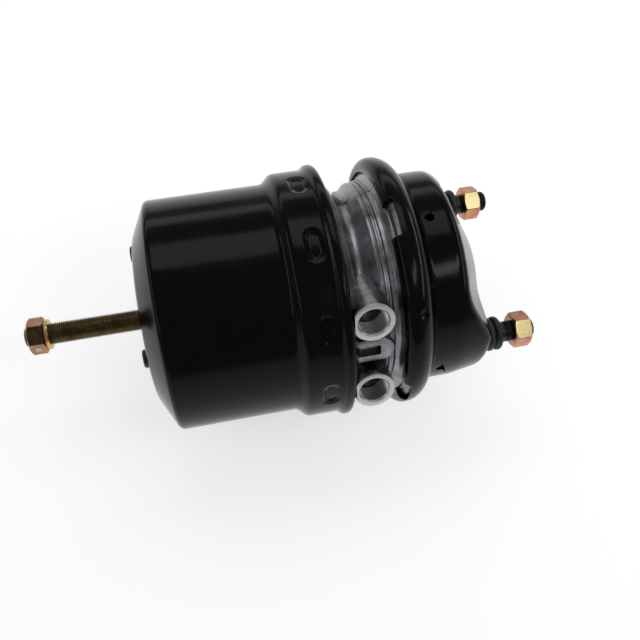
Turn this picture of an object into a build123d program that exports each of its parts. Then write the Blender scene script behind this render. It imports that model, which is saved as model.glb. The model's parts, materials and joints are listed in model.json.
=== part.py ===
from build123d import *
from math import atan2, degrees, hypot, radians, sqrt, tan
import os

# Spring brake actuator for an air disc brake. Millimetres.
# The origin is the centre of the mounting face. +X runs along the axis out of that face, the way
# the push rod moves. The two studs lie along Y, and +Z is up. Angles about the axis are counted
# from +Y towards +Z. Pieces sit at X below zero unless they stand out of the mounting face.

# ---- clearances -------------------------------------------------------------------------------
SEAT_GAP = 0.1        # between curved or pressed pieces of one body that only sit together
LOOSE_GAP = 0.3       # between pieces that must never rub
RUNNING_GAP = 0.05    # radial, between a shaft or piston and what guides it
CUT_PAST = 1.0        # how far a cutting shape reaches past what it cuts

# ---- motion -----------------------------------------------------------------------------------
TOTAL_STROKE = 60.0    # full travel of the push rod
PISTON_TRAVEL = 30.0  # share of it that the spring piston is given

# ---- threads and fasteners --------------------------------------------------------------------
THREAD_R = 8.0             # M16 crest radius of the studs and the release bolt
THREAD_PITCH = 1.5
FLANK_DEPTH = 0.325 * THREAD_PITCH  # crest to pitch line, where the threaded solids meet
PITCH_R = THREAD_R - FLANK_DEPTH
HEX_ACROSS_FLATS = 24.0
STUD_NUT_HEIGHT = 13.0
HEX_TURN = 26.3            # angle of a corner of the nuts about the axis
EDGE_BREAK = 1.0           # chamfer on the ends of bolts and studs
NUT_CHAMFER_ANGLE = 30.0

# ---- mounting face and studs ------------------------------------------------------------------
STUD_SPACING = 120.65      # between the two stud axes
STUD_REACH = 38.5          # tip of each stud in front of the mounting face
NEAR_NUT_BACK = 22.0       # back of the nut on the -Y stud, in front of the face
FAR_NUT_BACK = 18.5        # back of the nut on the +Y stud
STUD_SHOULDER_R = 8.5      # plain shoulder that carries the rubber sleeve
STUD_HEAD_R = 12.0
STUD_HEAD_THICK = 6.0
STUD_PLATE_THICK = 6.0     # stiffener behind the front wall
STUD_PLATE_MARGIN = 5.0    # plate left outside each stud head
SLEEVE_R = 12.9
SLEEVE_REACH = 12.2        # front of the rubber sleeve, in front of the mounting face
SLEEVE_RING_LENGTH = 5.6   # each of the two round rings of the sleeve
SLEEVE_NECK_R = 10.8

# ---- service housing, pressed steel -----------------------------------------------------------
WALL = 3.0                 # sheet of both housings
STUD_TO_EDGE = 20.375      # from a stud's axis out to the drum behind the mounting face
DRUM_TAPER = 4.1           # how much less the radius is where the taper meets the mounting plane
DRUM_TAPER_LENGTH = 27.2
FRONT_CORNER_R = 9.4
PAD_HALF_WIDTH = 19.7      # flat bridge that carries the studs, across the stud line
PAD_SIDE_SLOPE = 0.62      # drop per mm beside the bridge
HUB_FLAT_R = 35.2          # round flat in the middle of the front
HUB_SLOPE = 0.5            # drop per mm outside that flat
ROD_OPENING_R = 31.0       # round opening for the push rod and its boot
SERVICE_DEPTH = 61.9       # mounting face to the diaphragm face of the centre flange
RIM_RISE = 15.1            # rolled rim over the drum
RIM_FOOT = 46.9            # where the rim leaves the drum, behind the mounting face
RIM_SHOULDER_RUN = 9.7     # how far the rim's shoulder leans back
RIM_SHOULDER_BEND = 13.0
RIM_LIP_BEND = 7.0
LIP_WIDTH = 9.8            # folded lip, from the outside of the rim to its inner edge
FOOT_BEND = 4.0
GRIP_LENGTH = 7.3          # length of the flange ring that the rim holds
WINDOW_COUNT = 4           # cut-outs in the lip
WINDOW_WIDTH = 34.0
WINDOW_DEPTH = 5.2         # how far each window is cut back from the lip
DRAIN_R = 3.2
DRAIN_BACK = 40.0          # drain holes, behind the mounting face
RIM_DENT_ANGLE = 135.0
RIM_DENT_R = 3.6
RIM_DENT_DEPTH = 1.2

# ---- centre flange, die-cast aluminium --------------------------------------------------------
BAND_GAP = 6.0             # round band, inside the lip's edge
BAND_LENGTH = 8.0
GROOVE_DEPTH = 1.6         # cast groove between the band and the bead
GROOVE_WIDTH = 1.8
BEAD_STEP = 0.4            # bead behind the groove, lower than the band by this
BEAD_LENGTH = 5.5
BEAD_FALL = 0.8            # taper of the bead
NECK_STEP = 9.2            # neck, lower than the bead by this
NECK_BACK = 33.1           # neck and ports, behind the diaphragm face
NECK_HALF = 2.5            # half the straight part of the neck
CAST_WALL = 7.4            # wall of the neck
CAST_CONE_LENGTH = 10.8    # neck to the folded edge of the spring housing
CAST_BEND = 4.0            # radius of the neck's corners
CAST_EDGE = 2.4            # radius of the band's and the bead's outer edges
CAST_ROOT = 0.6            # radius of the small inner corners
SPIGOT_LENGTH = 30.8       # ring that enters the spring housing
SPIGOT_WALL = 9.8
DISH_DEPTH = 22.1          # hollow for the diaphragm
DISH_MOUTH_WALL = 16.8     # from the outside of the rim to the mouth of the hollow
DISH_SIDE = 22.0           # from the mouth in to the edge of its floor
FLOOR_THICK = 9.0          # cast floor between the two chambers
HUB_WALL = 11.0            # hub that guides the push tube
HUB_LENGTH = 24.0
SEAL_CORD = 4.0            # section of the ring seal in the spigot
SEAL_INSET = 5.0           # ring seal from the end of the spigot

# ---- air ports --------------------------------------------------------------------------------
PORT_ANGLE = 153.3         # direction of both port axes about the main axis
PORT_OFFSET = 30.0         # each port axis from the plane through the main axis
PORT_RISE = 19.6           # machined mouths above the neck
PORT_BOSS_R = 14.6
PORT_BORE_R = 10.19        # minor radius of the M22 x 1.5 thread
PORT_DEPTH = 16.0
PORT_CHAMFER = 1.4
PORT_PASSAGE_R = 3.5       # drilled way on into the chamber
PASSAGE_FALL = 13.0        # drop of the service port's way towards the axis
BOSS_FOOT_INSET = 3.0      # cast foot between the bosses, narrower than them on each side
BOSS_FOOT_RISE = 2.0       # foot over the neck
WEB_RISE = 10.6            # top of the web between the ports, above the neck
WEB_HALF_WIDTH = 10.0
WEB_REACH = 14.0           # web in front of the port axes
WEB_POCKET_RIM = 2.0       # left behind the pocket
WEB_POCKET_LENGTH = 17.0
WEB_POCKET_WIDTH = 8.5
WEB_POCKET_DEPTH = 9.0

# ---- spring housing, pressed steel ------------------------------------------------------------
BARREL_STEP = 9.1          # barrel inside the service housing's rim
SKIRT_STEP = 6.7           # skirt over the barrel
CRIMP_RISE = 3.2           # folded edge that holds the flange, over the skirt
CRIMP_FOLD = 5.4           # width of that edge where it is folded in
CRIMP_LENGTH = 6.0
SKIRT_LENGTH = 32.8        # folded edge to the shoulder
SHOULDER_LENGTH = 6.5
BARREL_LENGTH = 87.3
CONE_LENGTH = 13.0
CROWN_LENGTH = 0.8
CONE_WIDTH = 26.7          # from the barrel in to the crown
CROWN_WIDTH = 26.0         # from the cone in to the flat end
BARREL_CORNER_R = 4.5
CONE_BEND_R = 20.0
SHOULDER_BEND_R = 6.0
CRIMP_BEND_R = 3.4
DENT_COUNT = 10            # stadium-shaped dents round the skirt
DENT_LENGTH = 26.0
DENT_WIDTH = 13.7
DENT_DEPTH = 0.9
DENT_SLOT_LENGTH = 21.0
DENT_SLOT_WIDTH = 9.4
DENT_SLOT_DEPTH = 2.2
DENT_BACK = 17.6           # dents behind the folded edge

# ---- breather plugs ---------------------------------------------------------------------------
PLUG_COUNT = 3
PLUG_OUT = 14.5            # plugs outside the flat end
PLUG_HEAD_R = 6.6
PLUG_HEAD_THICK = 3.2
PLUG_STEM_R = 4.0
PLUG_BARB_R = 5.0
PLUG_BARB_THICK = 1.6

# ---- spring piston and push tube --------------------------------------------------------------
PISTON_GUIDE_LENGTH = 26.0
PISTON_END_GAP = 4.8       # piston skirt to the start of the housing's cone, at rest
PISTON_SLIP = 0.5          # radial, bare piston to the barrel
PISTON_STOP_GAP = 3.0      # piston to the flange's spigot at the end of the parking stroke
PISTON_GUIDE_WALL = 8.2
PISTON_SKIRT_WALL = 3.5    # the thinner part of the skirt
PISTON_FLOOR = 6.0
PISTON_HUB_WALL = 6.0
PISTON_HUB_LENGTH = 18.0   # hub inside the spring, from the floor
PISTON_COLLAR = 12.0       # thick ring that the bolt's head pulls on
GUIDE_RING_WIDTH = 6.0
GUIDE_RING_DEPTH = 2.5
PISTON_SEAL_WIDTH = 8.0
PISTON_SEAL_DEPTH = 5.0
RING_LAND = 2.4            # piston left between its grooves
TUBE_R = 16.0
TUBE_WALL = 3.5
TUBE_CAP_THICK = 5.0
TUBE_CAP_SPIGOT = 8.0
TUBE_BUSH_WALL = 3.0
TUBE_BUSH_LENGTH = 12.0
TUBE_SEAL_WALL = 4.0
TUBE_SEAL_WIDTH = 3.2

# ---- springs ----------------------------------------------------------------------------------
POWER_WIRE_R = 6.0
POWER_TURNS = 4.4
POWER_SMALL_OUT = 13.0     # mean radius at the housing end, outside the flat end
POWER_ROOM = 5.0           # between the largest coil and the piston's bore
POWER_SEAT_SIDE = 9.0      # pad on each side of the small coil's mean radius
POWER_SEAT_THICK = 3.0     # pad between the spring and the housing
GROUND_SHARE = 0.45        # end coils are ground down to this share of the wire radius
RETURN_WIRE_R = 2.25
RETURN_TURNS = 5.0
RETURN_INSET = 9.0         # mean radius on the push plate, inside the plate's edge
RETURN_TAPER = 9.0         # how much smaller it is at the front

# ---- release bolt -----------------------------------------------------------------------------
BOLT_REACH = 87.1          # tip outside the spring housing, wound fully out
BOLT_TIP = 2.6             # thread past the nut
RELEASE_NUT_HEIGHT = 12.0
RELEASE_WASHER_R = 11.2
RELEASE_WASHER_THICK = 3.0
NUT_PIN_R = 2.5
NUT_PIN_TURN = 150.0       # the cross pin's axis from a corner of the nut
BOLT_HEAD_ROOM = 0.9       # bolt's head inside the push tube
BOLT_HEAD_THICK = 8.0
THRUST_WASHER_THICK = 2.0
BUSH_R = 13.0              # threaded bush where it passes the end wall
BUSH_COLLAR_R = 20.0
BUSH_COLLAR_THICK = 9.0

# ---- diaphragm, push plate and rod ------------------------------------------------------------
DIAPHRAGM_THICK = 3.0
BEAD_THICK = 7.0
PLATE_INSET = 2.0          # push plate inside the floor of the hollow
PLATE_THICK = 4.0
PLATE_EDGE_R = 1.8
ROD_R = 10.0
ROD_REACH = 5.0            # tip of the rod in front of the mounting face, at rest
BOOT_LIP_R = 27.0
BOOT_WALL = 2.2
GUIDE_DISC_THICK = 3.0

# ---- radii and stations, worked out from the lengths above ------------------------------------
SERVICE_R = STUD_SPACING / 2 + STUD_TO_EDGE
SERVICE_FRONT_R = SERVICE_R - DRUM_TAPER
RIM_R = SERVICE_R + RIM_RISE
LIP_EDGE_R = RIM_R - LIP_WIDTH
BAND_R = LIP_EDGE_R - BAND_GAP
BEAD_R = BAND_R - BEAD_STEP
NECK_R = BEAD_R - NECK_STEP
PORT_FACE = NECK_R + PORT_RISE
WEB_FACE = NECK_R + WEB_RISE
DISH_MOUTH_R = RIM_R - DISH_MOUTH_WALL
DISH_FLOOR_R = DISH_MOUTH_R - DISH_SIDE
PLATE_R = DISH_FLOOR_R - PLATE_INSET
RETURN_LARGE_R = PLATE_R - RETURN_INSET
RETURN_SMALL_R = RETURN_LARGE_R - RETURN_TAPER
BARREL_R = RIM_R - BARREL_STEP
SKIRT_R = BARREL_R + SKIRT_STEP
CRIMP_R = SKIRT_R + CRIMP_RISE
CRIMP_EDGE_R = CRIMP_R - CRIMP_FOLD
BARREL_BORE_R = BARREL_R - WALL
SKIRT_BORE_R = SKIRT_R - WALL
SPIGOT_R = SKIRT_BORE_R - SEAT_GAP
SPIGOT_BORE_R = SPIGOT_R - SPIGOT_WALL
TUBE_BORE_R = TUBE_R - TUBE_WALL
TUBE_BUSH_R = TUBE_R + TUBE_BUSH_WALL
TUBE_SEAL_R = TUBE_R + TUBE_SEAL_WALL
HUB_R = TUBE_R + HUB_WALL
PISTON_HUB_R = TUBE_R + PISTON_HUB_WALL
BOLT_HEAD_R = TUBE_BORE_R - BOLT_HEAD_ROOM
CONE_TOP_R = BARREL_R - CONE_WIDTH
CROWN_TOP_R = CONE_TOP_R - CROWN_WIDTH
PLUG_CIRCLE_R = CROWN_TOP_R + PLUG_OUT
PISTON_GUIDE_R = BARREL_BORE_R - PISTON_SLIP
PISTON_BORE_R = PISTON_GUIDE_R - PISTON_GUIDE_WALL
PISTON_SKIRT_R = PISTON_BORE_R + PISTON_SKIRT_WALL
POWER_LARGE_R = PISTON_BORE_R - POWER_WIRE_R - POWER_ROOM
POWER_SMALL_R = CROWN_TOP_R + POWER_SMALL_OUT
POWER_SEAT_IN_R = POWER_SMALL_R - POWER_SEAT_SIDE
POWER_SEAT_OUT_R = POWER_SMALL_R + POWER_SEAT_SIDE

FLANGE_FACE = -SERVICE_DEPTH
GRIP_BACK = FLANGE_FACE - GRIP_LENGTH
BAND_BACK = GRIP_BACK - BAND_LENGTH
BEAD_FRONT = BAND_BACK - GROOVE_WIDTH
LIP_BACK = GRIP_BACK - LOOSE_GAP - WALL
PORT_X = FLANGE_FACE - NECK_BACK
DISH_FLOOR = FLANGE_FACE - DISH_DEPTH
BOWL_FLOOR = DISH_FLOOR - FLOOR_THICK
CRIMP_FRONT = PORT_X - NECK_HALF - CAST_CONE_LENGTH
SPIGOT_END = CRIMP_FRONT - SPIGOT_LENGTH
SHOULDER_FRONT = CRIMP_FRONT - SKIRT_LENGTH
BARREL_FRONT = SHOULDER_FRONT - SHOULDER_LENGTH
BARREL_BACK = BARREL_FRONT - BARREL_LENGTH
CONE_BACK = BARREL_BACK - CONE_LENGTH
END_FACE = CONE_BACK - CROWN_LENGTH
PISTON_BACK = BARREL_BACK + PISTON_END_GAP
PISTON_FRONT = SPIGOT_END - PISTON_TRAVEL - PISTON_STOP_GAP
PISTON_SEAT = PISTON_FRONT - PISTON_FLOOR
DIAPHRAGM_BACK = DISH_FLOOR + LOOSE_GAP
PLATE_BACK = DIAPHRAGM_BACK + DIAPHRAGM_THICK + LOOSE_GAP
PLATE_FRONT = PLATE_BACK + PLATE_THICK
GUIDE_DISC_BACK = PLATE_FRONT + TOTAL_STROKE + LOOSE_GAP
BOOT_BACK = GUIDE_DISC_BACK + GUIDE_DISC_THICK + SEAT_GAP
STUD_PLATE_BACK = -WALL - STUD_PLATE_THICK
BOLT_END = END_FACE - BOLT_REACH


# ---- helpers ----------------------------------------------------------------------------------
def turned(*points):
    """A solid turned about the X axis from a closed outline of (x, radius) points."""
    return revolve(make_face(Polyline(*points, close=True)), Axis.X)


def ring(x_low, x_high, bore_r, outer_r):
    return turned((x_low, bore_r), (x_high, bore_r), (x_high, outer_r), (x_low, outer_r))


def round_bar(x_low, x_high, radius, low_break=0.0, high_break=0.0):
    """A bar on the X axis, with its end edges cut off at 45 degrees."""
    return turned(
        (x_low, 0),
        (x_high, 0),
        (x_high, radius - high_break),
        *([(x_high - high_break, radius)] if high_break else []),
        *([(x_low + low_break, radius)] if low_break else []),
        (x_low, radius - low_break),
    )


def rounded_path(points, bends):
    """An open line through the points, with each inner corner rounded by its bend radius."""
    return FilletPolyline(*points, radius=bends)


def side_corners(points, wall):
    """The corners of the same open line moved sideways by the wall, to the right of its run."""
    steps = [Vector(*b) - Vector(*a) for a, b in zip(points, points[1:])]
    sides = [Vector(s.Y, -s.X).normalized() * wall for s in steps]
    corners = [Vector(*points[0]) + sides[0]]
    for corner, first, second in zip(points[1:-1], sides, sides[1:]):
        both = first + second
        corners.append(Vector(*corner) + both * (2 * wall**2 / both.dot(both)))
    corners.append(Vector(*points[-1]) + sides[-1])
    return [(c.X, c.Y) for c in corners]


def side_bends(points, bends, wall):
    """Bend radii of the moved line: smaller where the line turns towards its right side."""
    steps = [Vector(*b) - Vector(*a) for a, b in zip(points, points[1:])]
    turns = [a.X * b.Y - a.Y * b.X for a, b in zip(steps, steps[1:])]
    return [r + wall if turn > 0 else r - wall for r, turn in zip(bends, turns)]


def pressed_sheet(points, bends, wall):
    """Sheet metal turned about X: the outer line is given, and the wall lies to its right."""
    outer = rounded_path(points, bends)
    inner_points = side_corners(points, wall)
    inner = rounded_path(inner_points, side_bends(points, bends, wall))
    ends = Line(points[0], inner_points[0]) + Line(points[-1], inner_points[-1])
    return revolve(make_face(outer + ends + inner), Axis.X)


def at_angle(angle):
    """Turns a shape that was made towards +Y to an angle about the X axis."""
    return Rot(X=angle)


def outward_plane(x, height):
    """A plane across +Y at a height from the axis: its x runs along X, its y across."""
    return Plane(origin=(x, height, 0), x_dir=(1, 0, 0), z_dir=(0, 1, 0))


def radial_bar(x, low, high, radius, across=0.0):
    """A round bar along +Y, between two heights from the axis."""
    base = outward_plane(x, low) * Pos(0, -across)
    return extrude(base * Circle(radius), high - low)


def hexagon_nut(back, height, bore_r):
    """A hexagon nut on the X axis, chamfered on both faces."""
    corner_r = HEX_ACROSS_FLATS / sqrt(3)
    drop = (corner_r - HEX_ACROSS_FLATS / 2) * tan(radians(NUT_CHAMFER_ANGLE))
    prism = Pos(X=back) * extrude(
        Plane.YZ * RegularPolygon(HEX_ACROSS_FLATS / 2, 6, major_radius=False, rotation=HEX_TURN),
        height,
    )
    barrel = turned(
        (back, bore_r),
        (back + height, bore_r),
        (back + height, HEX_ACROSS_FLATS / 2),
        (back + height - drop, corner_r + SEAT_GAP),
        (back + drop, corner_r + SEAT_GAP),
        (back, HEX_ACROSS_FLATS / 2),
    )
    return prism & barrel


def coil(x_low, x_high, low_r, high_r, wire_r, turns):
    """A conical spring along X, with its end coils ground flat on both seats."""
    length = x_high - x_low - 2 * wire_r * GROUND_SHARE
    start = x_low + wire_r * GROUND_SHARE
    lean = degrees(atan2(high_r - low_r, length))
    path = Edge.make_helix(length / turns, length, low_r, (start, 0, 0), (1, 0, 0), lean)
    section = Plane(origin=path @ 0, z_dir=path % 0) * Circle(wire_r)
    wound = sweep(section, path, is_frenet=True)
    reach = max(low_r, high_r) + 2 * wire_r
    wound -= round_bar(x_low - 2 * wire_r, x_low, reach)
    return wound - round_bar(x_high, x_high + 2 * wire_r, reach)


# ---- service housing --------------------------------------------------------------------------
def front_form(inset):
    """The drum with its front, as a full solid, with every face moved in by the inset."""
    back = -RIM_FOOT
    side = hypot(1, HUB_SLOPE) * inset
    wall_r = SERVICE_R - inset
    front_r = SERVICE_FRONT_R - inset
    hub_r = HUB_FLAT_R - (side - inset) / HUB_SLOPE
    cone_foot = -side - HUB_SLOPE * (wall_r - HUB_FLAT_R)
    drum = turned(
        (back, 0), (-inset, 0), (-inset, hub_r), (cone_foot, wall_r), (back, wall_r)
    )
    corner_r = FRONT_CORNER_R - inset
    outline = FilletPolyline(
        (back, wall_r), (-DRUM_TAPER_LENGTH, wall_r), (-inset, front_r), (-inset, 0),
        radius=[corner_r, corner_r],
    )
    closing = Polyline((-inset, 0), (back, 0), (back, wall_r))
    blank = revolve(make_face(outline + closing), Axis.X)
    slant = hypot(1, PAD_SIDE_SLOPE) * inset
    pad = PAD_HALF_WIDTH - (slant - inset) / PAD_SIDE_SLOPE
    foot = PAD_HALF_WIDTH + (-back - slant) / PAD_SIDE_SLOPE
    bridge = Polyline((-inset, -pad), (back, -foot), (back, foot), (-inset, pad), close=True)
    prism = extrude(Plane.XZ * make_face(bridge), 2 * SERVICE_R, both=True)
    return drum + (blank & prism)


def stud_places():
    return [Pos(Y=side * STUD_SPACING / 2) for side in (-1, 1)]


def service_housing():
    rim = pressed_sheet(
        [
            (LIP_BACK, LIP_EDGE_R),
            (LIP_BACK, RIM_R),
            (-RIM_FOOT - RIM_SHOULDER_RUN, RIM_R),
            (-RIM_FOOT, SERVICE_R),
            (-RIM_FOOT + WALL * 2, SERVICE_R),
        ],
        [RIM_LIP_BEND, RIM_SHOULDER_BEND, FOOT_BEND],
        WALL,
    )
    front = front_form(0) - front_form(WALL)
    mouth = round_bar(-RIM_FOOT - WALL, -RIM_FOOT + WALL, SERVICE_R + WALL)
    body = rim + (front - mouth)
    body -= round_bar(-2 * WALL, WALL, ROD_OPENING_R)
    for place in stud_places():
        body -= place * round_bar(-2 * WALL, WALL, SLEEVE_R + LOOSE_GAP)
    window = Box(
        WINDOW_DEPTH, 2 * WALL + RIM_R - LIP_EDGE_R, WINDOW_WIDTH, align=(Align.MIN, Align.MAX, Align.CENTER)
    )
    for i in range(WINDOW_COUNT):
        angle = i * 360 / WINDOW_COUNT
        body -= at_angle(angle) * Pos(LIP_BACK, RIM_R + WALL) * window
        body -= at_angle(angle) * radial_bar(-DRAIN_BACK, SERVICE_R - 2 * WALL, SERVICE_R + WALL, DRAIN_R)
    dent_x = (LIP_BACK - RIM_FOOT) / 2
    for angle in (RIM_DENT_ANGLE, RIM_DENT_ANGLE + 180):
        body -= at_angle(angle) * radial_bar(dent_x, RIM_R - RIM_DENT_DEPTH, RIM_R + WALL, RIM_DENT_R)
    return body


# ---- mounting hardware ------------------------------------------------------------------------
def stud_plate():
    """Stiffener behind the front wall: a long plate with round ends over the stud heads."""
    end_r = STUD_HEAD_R + STUD_PLATE_MARGIN
    outline = SlotCenterToCenter(STUD_SPACING - 2 * STUD_PLATE_MARGIN, 2 * end_r)
    outline += Circle(ROD_OPENING_R + end_r / 2)
    plate = Pos(X=STUD_PLATE_BACK) * extrude(Plane.YZ * outline, STUD_PLATE_THICK - SEAT_GAP)
    plate &= front_form(WALL + SEAT_GAP)
    plate -= round_bar(STUD_PLATE_BACK - CUT_PAST, 0, ROD_OPENING_R)
    for place in stud_places():
        plate -= place * round_bar(STUD_PLATE_BACK - CUT_PAST, 0, STUD_SHOULDER_R)
    return plate


def mounting_studs():
    shoulder_front = SLEEVE_REACH + 2 * SEAT_GAP
    studs = []
    for place, nut_back in zip(stud_places(), (NEAR_NUT_BACK, FAR_NUT_BACK)):
        thread_start = nut_back - 5 * SEAT_GAP
        stud = turned(
            (STUD_PLATE_BACK - STUD_HEAD_THICK, 0),
            (STUD_REACH, 0),
            (STUD_REACH, PITCH_R - EDGE_BREAK),
            (STUD_REACH - EDGE_BREAK, PITCH_R),
            (thread_start, PITCH_R),
            (thread_start, THREAD_R),
            (shoulder_front, THREAD_R),
            (shoulder_front, STUD_SHOULDER_R),
            (STUD_PLATE_BACK, STUD_SHOULDER_R),
            (STUD_PLATE_BACK, STUD_HEAD_R),
            (STUD_PLATE_BACK - STUD_HEAD_THICK, STUD_HEAD_R),
        )
        studs.append(place * stud)
    return Compound(studs)


def mounting_nuts():
    backs = (NEAR_NUT_BACK, FAR_NUT_BACK)
    nuts = [
        place * hexagon_nut(back, STUD_NUT_HEIGHT, PITCH_R + RUNNING_GAP)
        for place, back in zip(stud_places(), backs)
    ]
    return Compound(nuts)


def stud_sleeves():
    """Ribbed rubber sleeves on the stud shoulders, standing on the stud plate."""
    ring_r = SLEEVE_RING_LENGTH / 2
    base = -WALL - SEAT_GAP
    crown = SLEEVE_R - ring_r
    body = ring(base, SLEEVE_REACH - ring_r, STUD_SHOULDER_R, SLEEVE_NECK_R)
    for i in range(2):
        middle = SLEEVE_REACH - ring_r - i * (SLEEVE_RING_LENGTH + LOOSE_GAP)
        bulge = revolve(Pos(middle, crown) * Circle(ring_r), Axis.X)
        body += bulge
    body -= round_bar(base - CUT_PAST, SLEEVE_REACH + CUT_PAST, STUD_SHOULDER_R)
    return Compound([place * body for place in stud_places()])


# ---- centre flange ----------------------------------------------------------------------------
def flange_outside():
    """The turned outside of the casting, still full."""
    crimp_back = CRIMP_FRONT - CRIMP_LENGTH + WALL * (sqrt(2) - 1) + LOOSE_GAP
    crimp_ring_r = CRIMP_R - WALL - LOOSE_GAP
    rim_ring_r = RIM_R - WALL - LOOSE_GAP
    lip_r = CRIMP_EDGE_R - LOOSE_GAP
    lip_x = CRIMP_FRONT - WALL - SEAT_GAP
    points = [
        (FLANGE_FACE, rim_ring_r),
        (GRIP_BACK, rim_ring_r),
        (GRIP_BACK, BAND_R),
        (BAND_BACK, BAND_R),
        (BAND_BACK, BAND_R - GROOVE_DEPTH),
        (BEAD_FRONT, BAND_R - GROOVE_DEPTH),
        (BEAD_FRONT, BEAD_R),
        (BEAD_FRONT - BEAD_LENGTH, BEAD_R - BEAD_FALL),
        (PORT_X + NECK_HALF, NECK_R),
        (PORT_X - NECK_HALF, NECK_R),
        (CRIMP_FRONT, lip_r),
        (lip_x, lip_r),
    ]
    rim_bend = RIM_LIP_BEND - WALL + LOOSE_GAP
    bends = [rim_bend, *[CAST_ROOT] * 5, CAST_EDGE, CAST_BEND, CAST_BEND, CAST_ROOT]
    rest = Polyline(
        points[-1],
        (lip_x, crimp_ring_r),
        (crimp_back, crimp_ring_r),
        (crimp_back - (crimp_ring_r - SPIGOT_R), SPIGOT_R),
        (SPIGOT_END, SPIGOT_R),
        (SPIGOT_END, 0),
        (FLANGE_FACE, 0),
        points[0],
    )
    return revolve(make_face(rounded_path(points, bends) + rest), Axis.X)


def flange_hollows():
    """What is hollow in the casting: spring side bowl, diaphragm dish and the tube's bore."""
    bowl_r = NECK_R - CAST_WALL
    bowl = turned(
        (SPIGOT_END - CUT_PAST, HUB_R),
        (SPIGOT_END - CUT_PAST, SPIGOT_BORE_R),
        (CRIMP_FRONT - CAST_WALL / 2, SPIGOT_BORE_R),
        (PORT_X - CAST_WALL / 2, bowl_r),
        (BOWL_FLOOR, bowl_r),
        (BOWL_FLOOR, HUB_R),
    )
    dish = turned(
        (DISH_FLOOR, 0),
        (DISH_FLOOR, DISH_FLOOR_R),
        (FLANGE_FACE, DISH_MOUTH_R),
        (FLANGE_FACE + CUT_PAST, DISH_MOUTH_R),
        (FLANGE_FACE + CUT_PAST, 0),
    )
    behind_hub = round_bar(SPIGOT_END - CUT_PAST, DISH_FLOOR - HUB_LENGTH, HUB_R)
    return [bowl, dish, behind_hub, round_bar(SPIGOT_END, FLANGE_FACE, TUBE_R + LOOSE_GAP)]


def port_sides():
    """Offsets of the parking port and the service port across their common direction."""
    return (-PORT_OFFSET, PORT_OFFSET)


def port_block():
    """The two bosses and the web between them, towards +Y."""
    root = NECK_R - 2 * CAST_WALL
    block = radial_bar(PORT_X, root, PORT_FACE, PORT_BOSS_R, port_sides()[0])
    block += radial_bar(PORT_X, root, PORT_FACE, PORT_BOSS_R, port_sides()[1])
    web_back = CRIMP_FRONT + LOOSE_GAP
    web_front = PORT_X + WEB_REACH - WEB_HALF_WIDTH
    sheet = Pos((web_back + web_front) / 2, 0) * Rectangle(web_front - web_back, 2 * WEB_HALF_WIDTH)
    sheet += Pos(web_front, 0) * Circle(WEB_HALF_WIDTH)
    block += extrude(Pos(Y=root) * Plane.XZ * sheet, -(WEB_FACE - root))
    foot = Rectangle(2 * (PORT_BOSS_R - BOSS_FOOT_INSET), 2 * PORT_OFFSET)
    block += extrude(outward_plane(PORT_X, root) * foot, NECK_R + BOSS_FOOT_RISE - root)
    to_the_back = (Align.MAX, Align.CENTER, Align.CENTER)
    beyond = Box(4 * PORT_BOSS_R, 3 * PORT_FACE, 4 * PORT_FACE, align=to_the_back)
    return block - Pos(X=CRIMP_FRONT + LOOSE_GAP) * beyond


def port_bores():
    """What is drilled out of the block: threaded bores, their chamfers and the air passages."""
    floor = PORT_FACE - PORT_DEPTH
    bores = []
    for side in port_sides():
        bores.append(radial_bar(PORT_X, floor, PORT_FACE + CUT_PAST, PORT_BORE_R, side))
        mouth = Plane(origin=(PORT_X, PORT_FACE - PORT_CHAMFER, side), x_dir=(1, 0, 0), z_dir=(0, 1, 0))
        from_base = (Align.CENTER, Align.CENTER, Align.MIN)
        bores.append(mouth * Cone(PORT_BORE_R, PORT_BORE_R + PORT_CHAMFER, PORT_CHAMFER, align=from_base))
    parking, service = port_sides()
    bowl_r = NECK_R - CAST_WALL
    low = sqrt(bowl_r**2 - PORT_OFFSET**2) - CAST_WALL
    passage_x = BOWL_FLOOR - 1.5 * PORT_PASSAGE_R
    bores.append(radial_bar(passage_x, low, floor + CUT_PAST, PORT_PASSAGE_R, parking))
    start = Vector(PORT_X + PORT_BORE_R / 4, floor + CUT_PAST, service)
    target = Vector((DISH_FLOOR + FLANGE_FACE) / 2 + PORT_PASSAGE_R, floor - PASSAGE_FALL, service)
    drill = Plane(origin=start, z_dir=target - start)
    bores.append(extrude(drill * Circle(PORT_PASSAGE_R), (target - start).length))
    return bores


def centre_flange():
    body = flange_outside() + at_angle(PORT_ANGLE) * port_block()
    for hollow in flange_hollows():
        body -= hollow
    for bore in port_bores():
        body -= at_angle(PORT_ANGLE) * bore
    pocket_x = CRIMP_FRONT + LOOSE_GAP + WEB_POCKET_RIM
    from_corner = (Align.MIN, Align.MAX, Align.CENTER)
    pocket = Box(WEB_POCKET_LENGTH, WEB_POCKET_DEPTH, WEB_POCKET_WIDTH, align=from_corner)
    body -= at_angle(PORT_ANGLE) * Pos(pocket_x, WEB_FACE) * pocket
    for groove in (seal_groove(), *tube_grooves()):
        body -= groove
    return body


def seal_groove():
    back = SPIGOT_END + SEAL_INSET
    return ring(back, back + SEAL_CORD, SKIRT_BORE_R - SEAL_CORD, SKIRT_BORE_R + CUT_PAST)


def flange_seal_ring():
    back = SPIGOT_END + SEAL_INSET
    cord_r = (SEAL_CORD - 2 * SEAT_GAP) / 2
    return revolve(Pos(back + SEAL_CORD / 2, SKIRT_BORE_R - SEAT_GAP - cord_r) * Circle(cord_r), Axis.X)


def tube_bush_span():
    middle = DISH_FLOOR - HUB_LENGTH / 2
    return middle - TUBE_BUSH_LENGTH / 2, middle + TUBE_BUSH_LENGTH / 2


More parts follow.
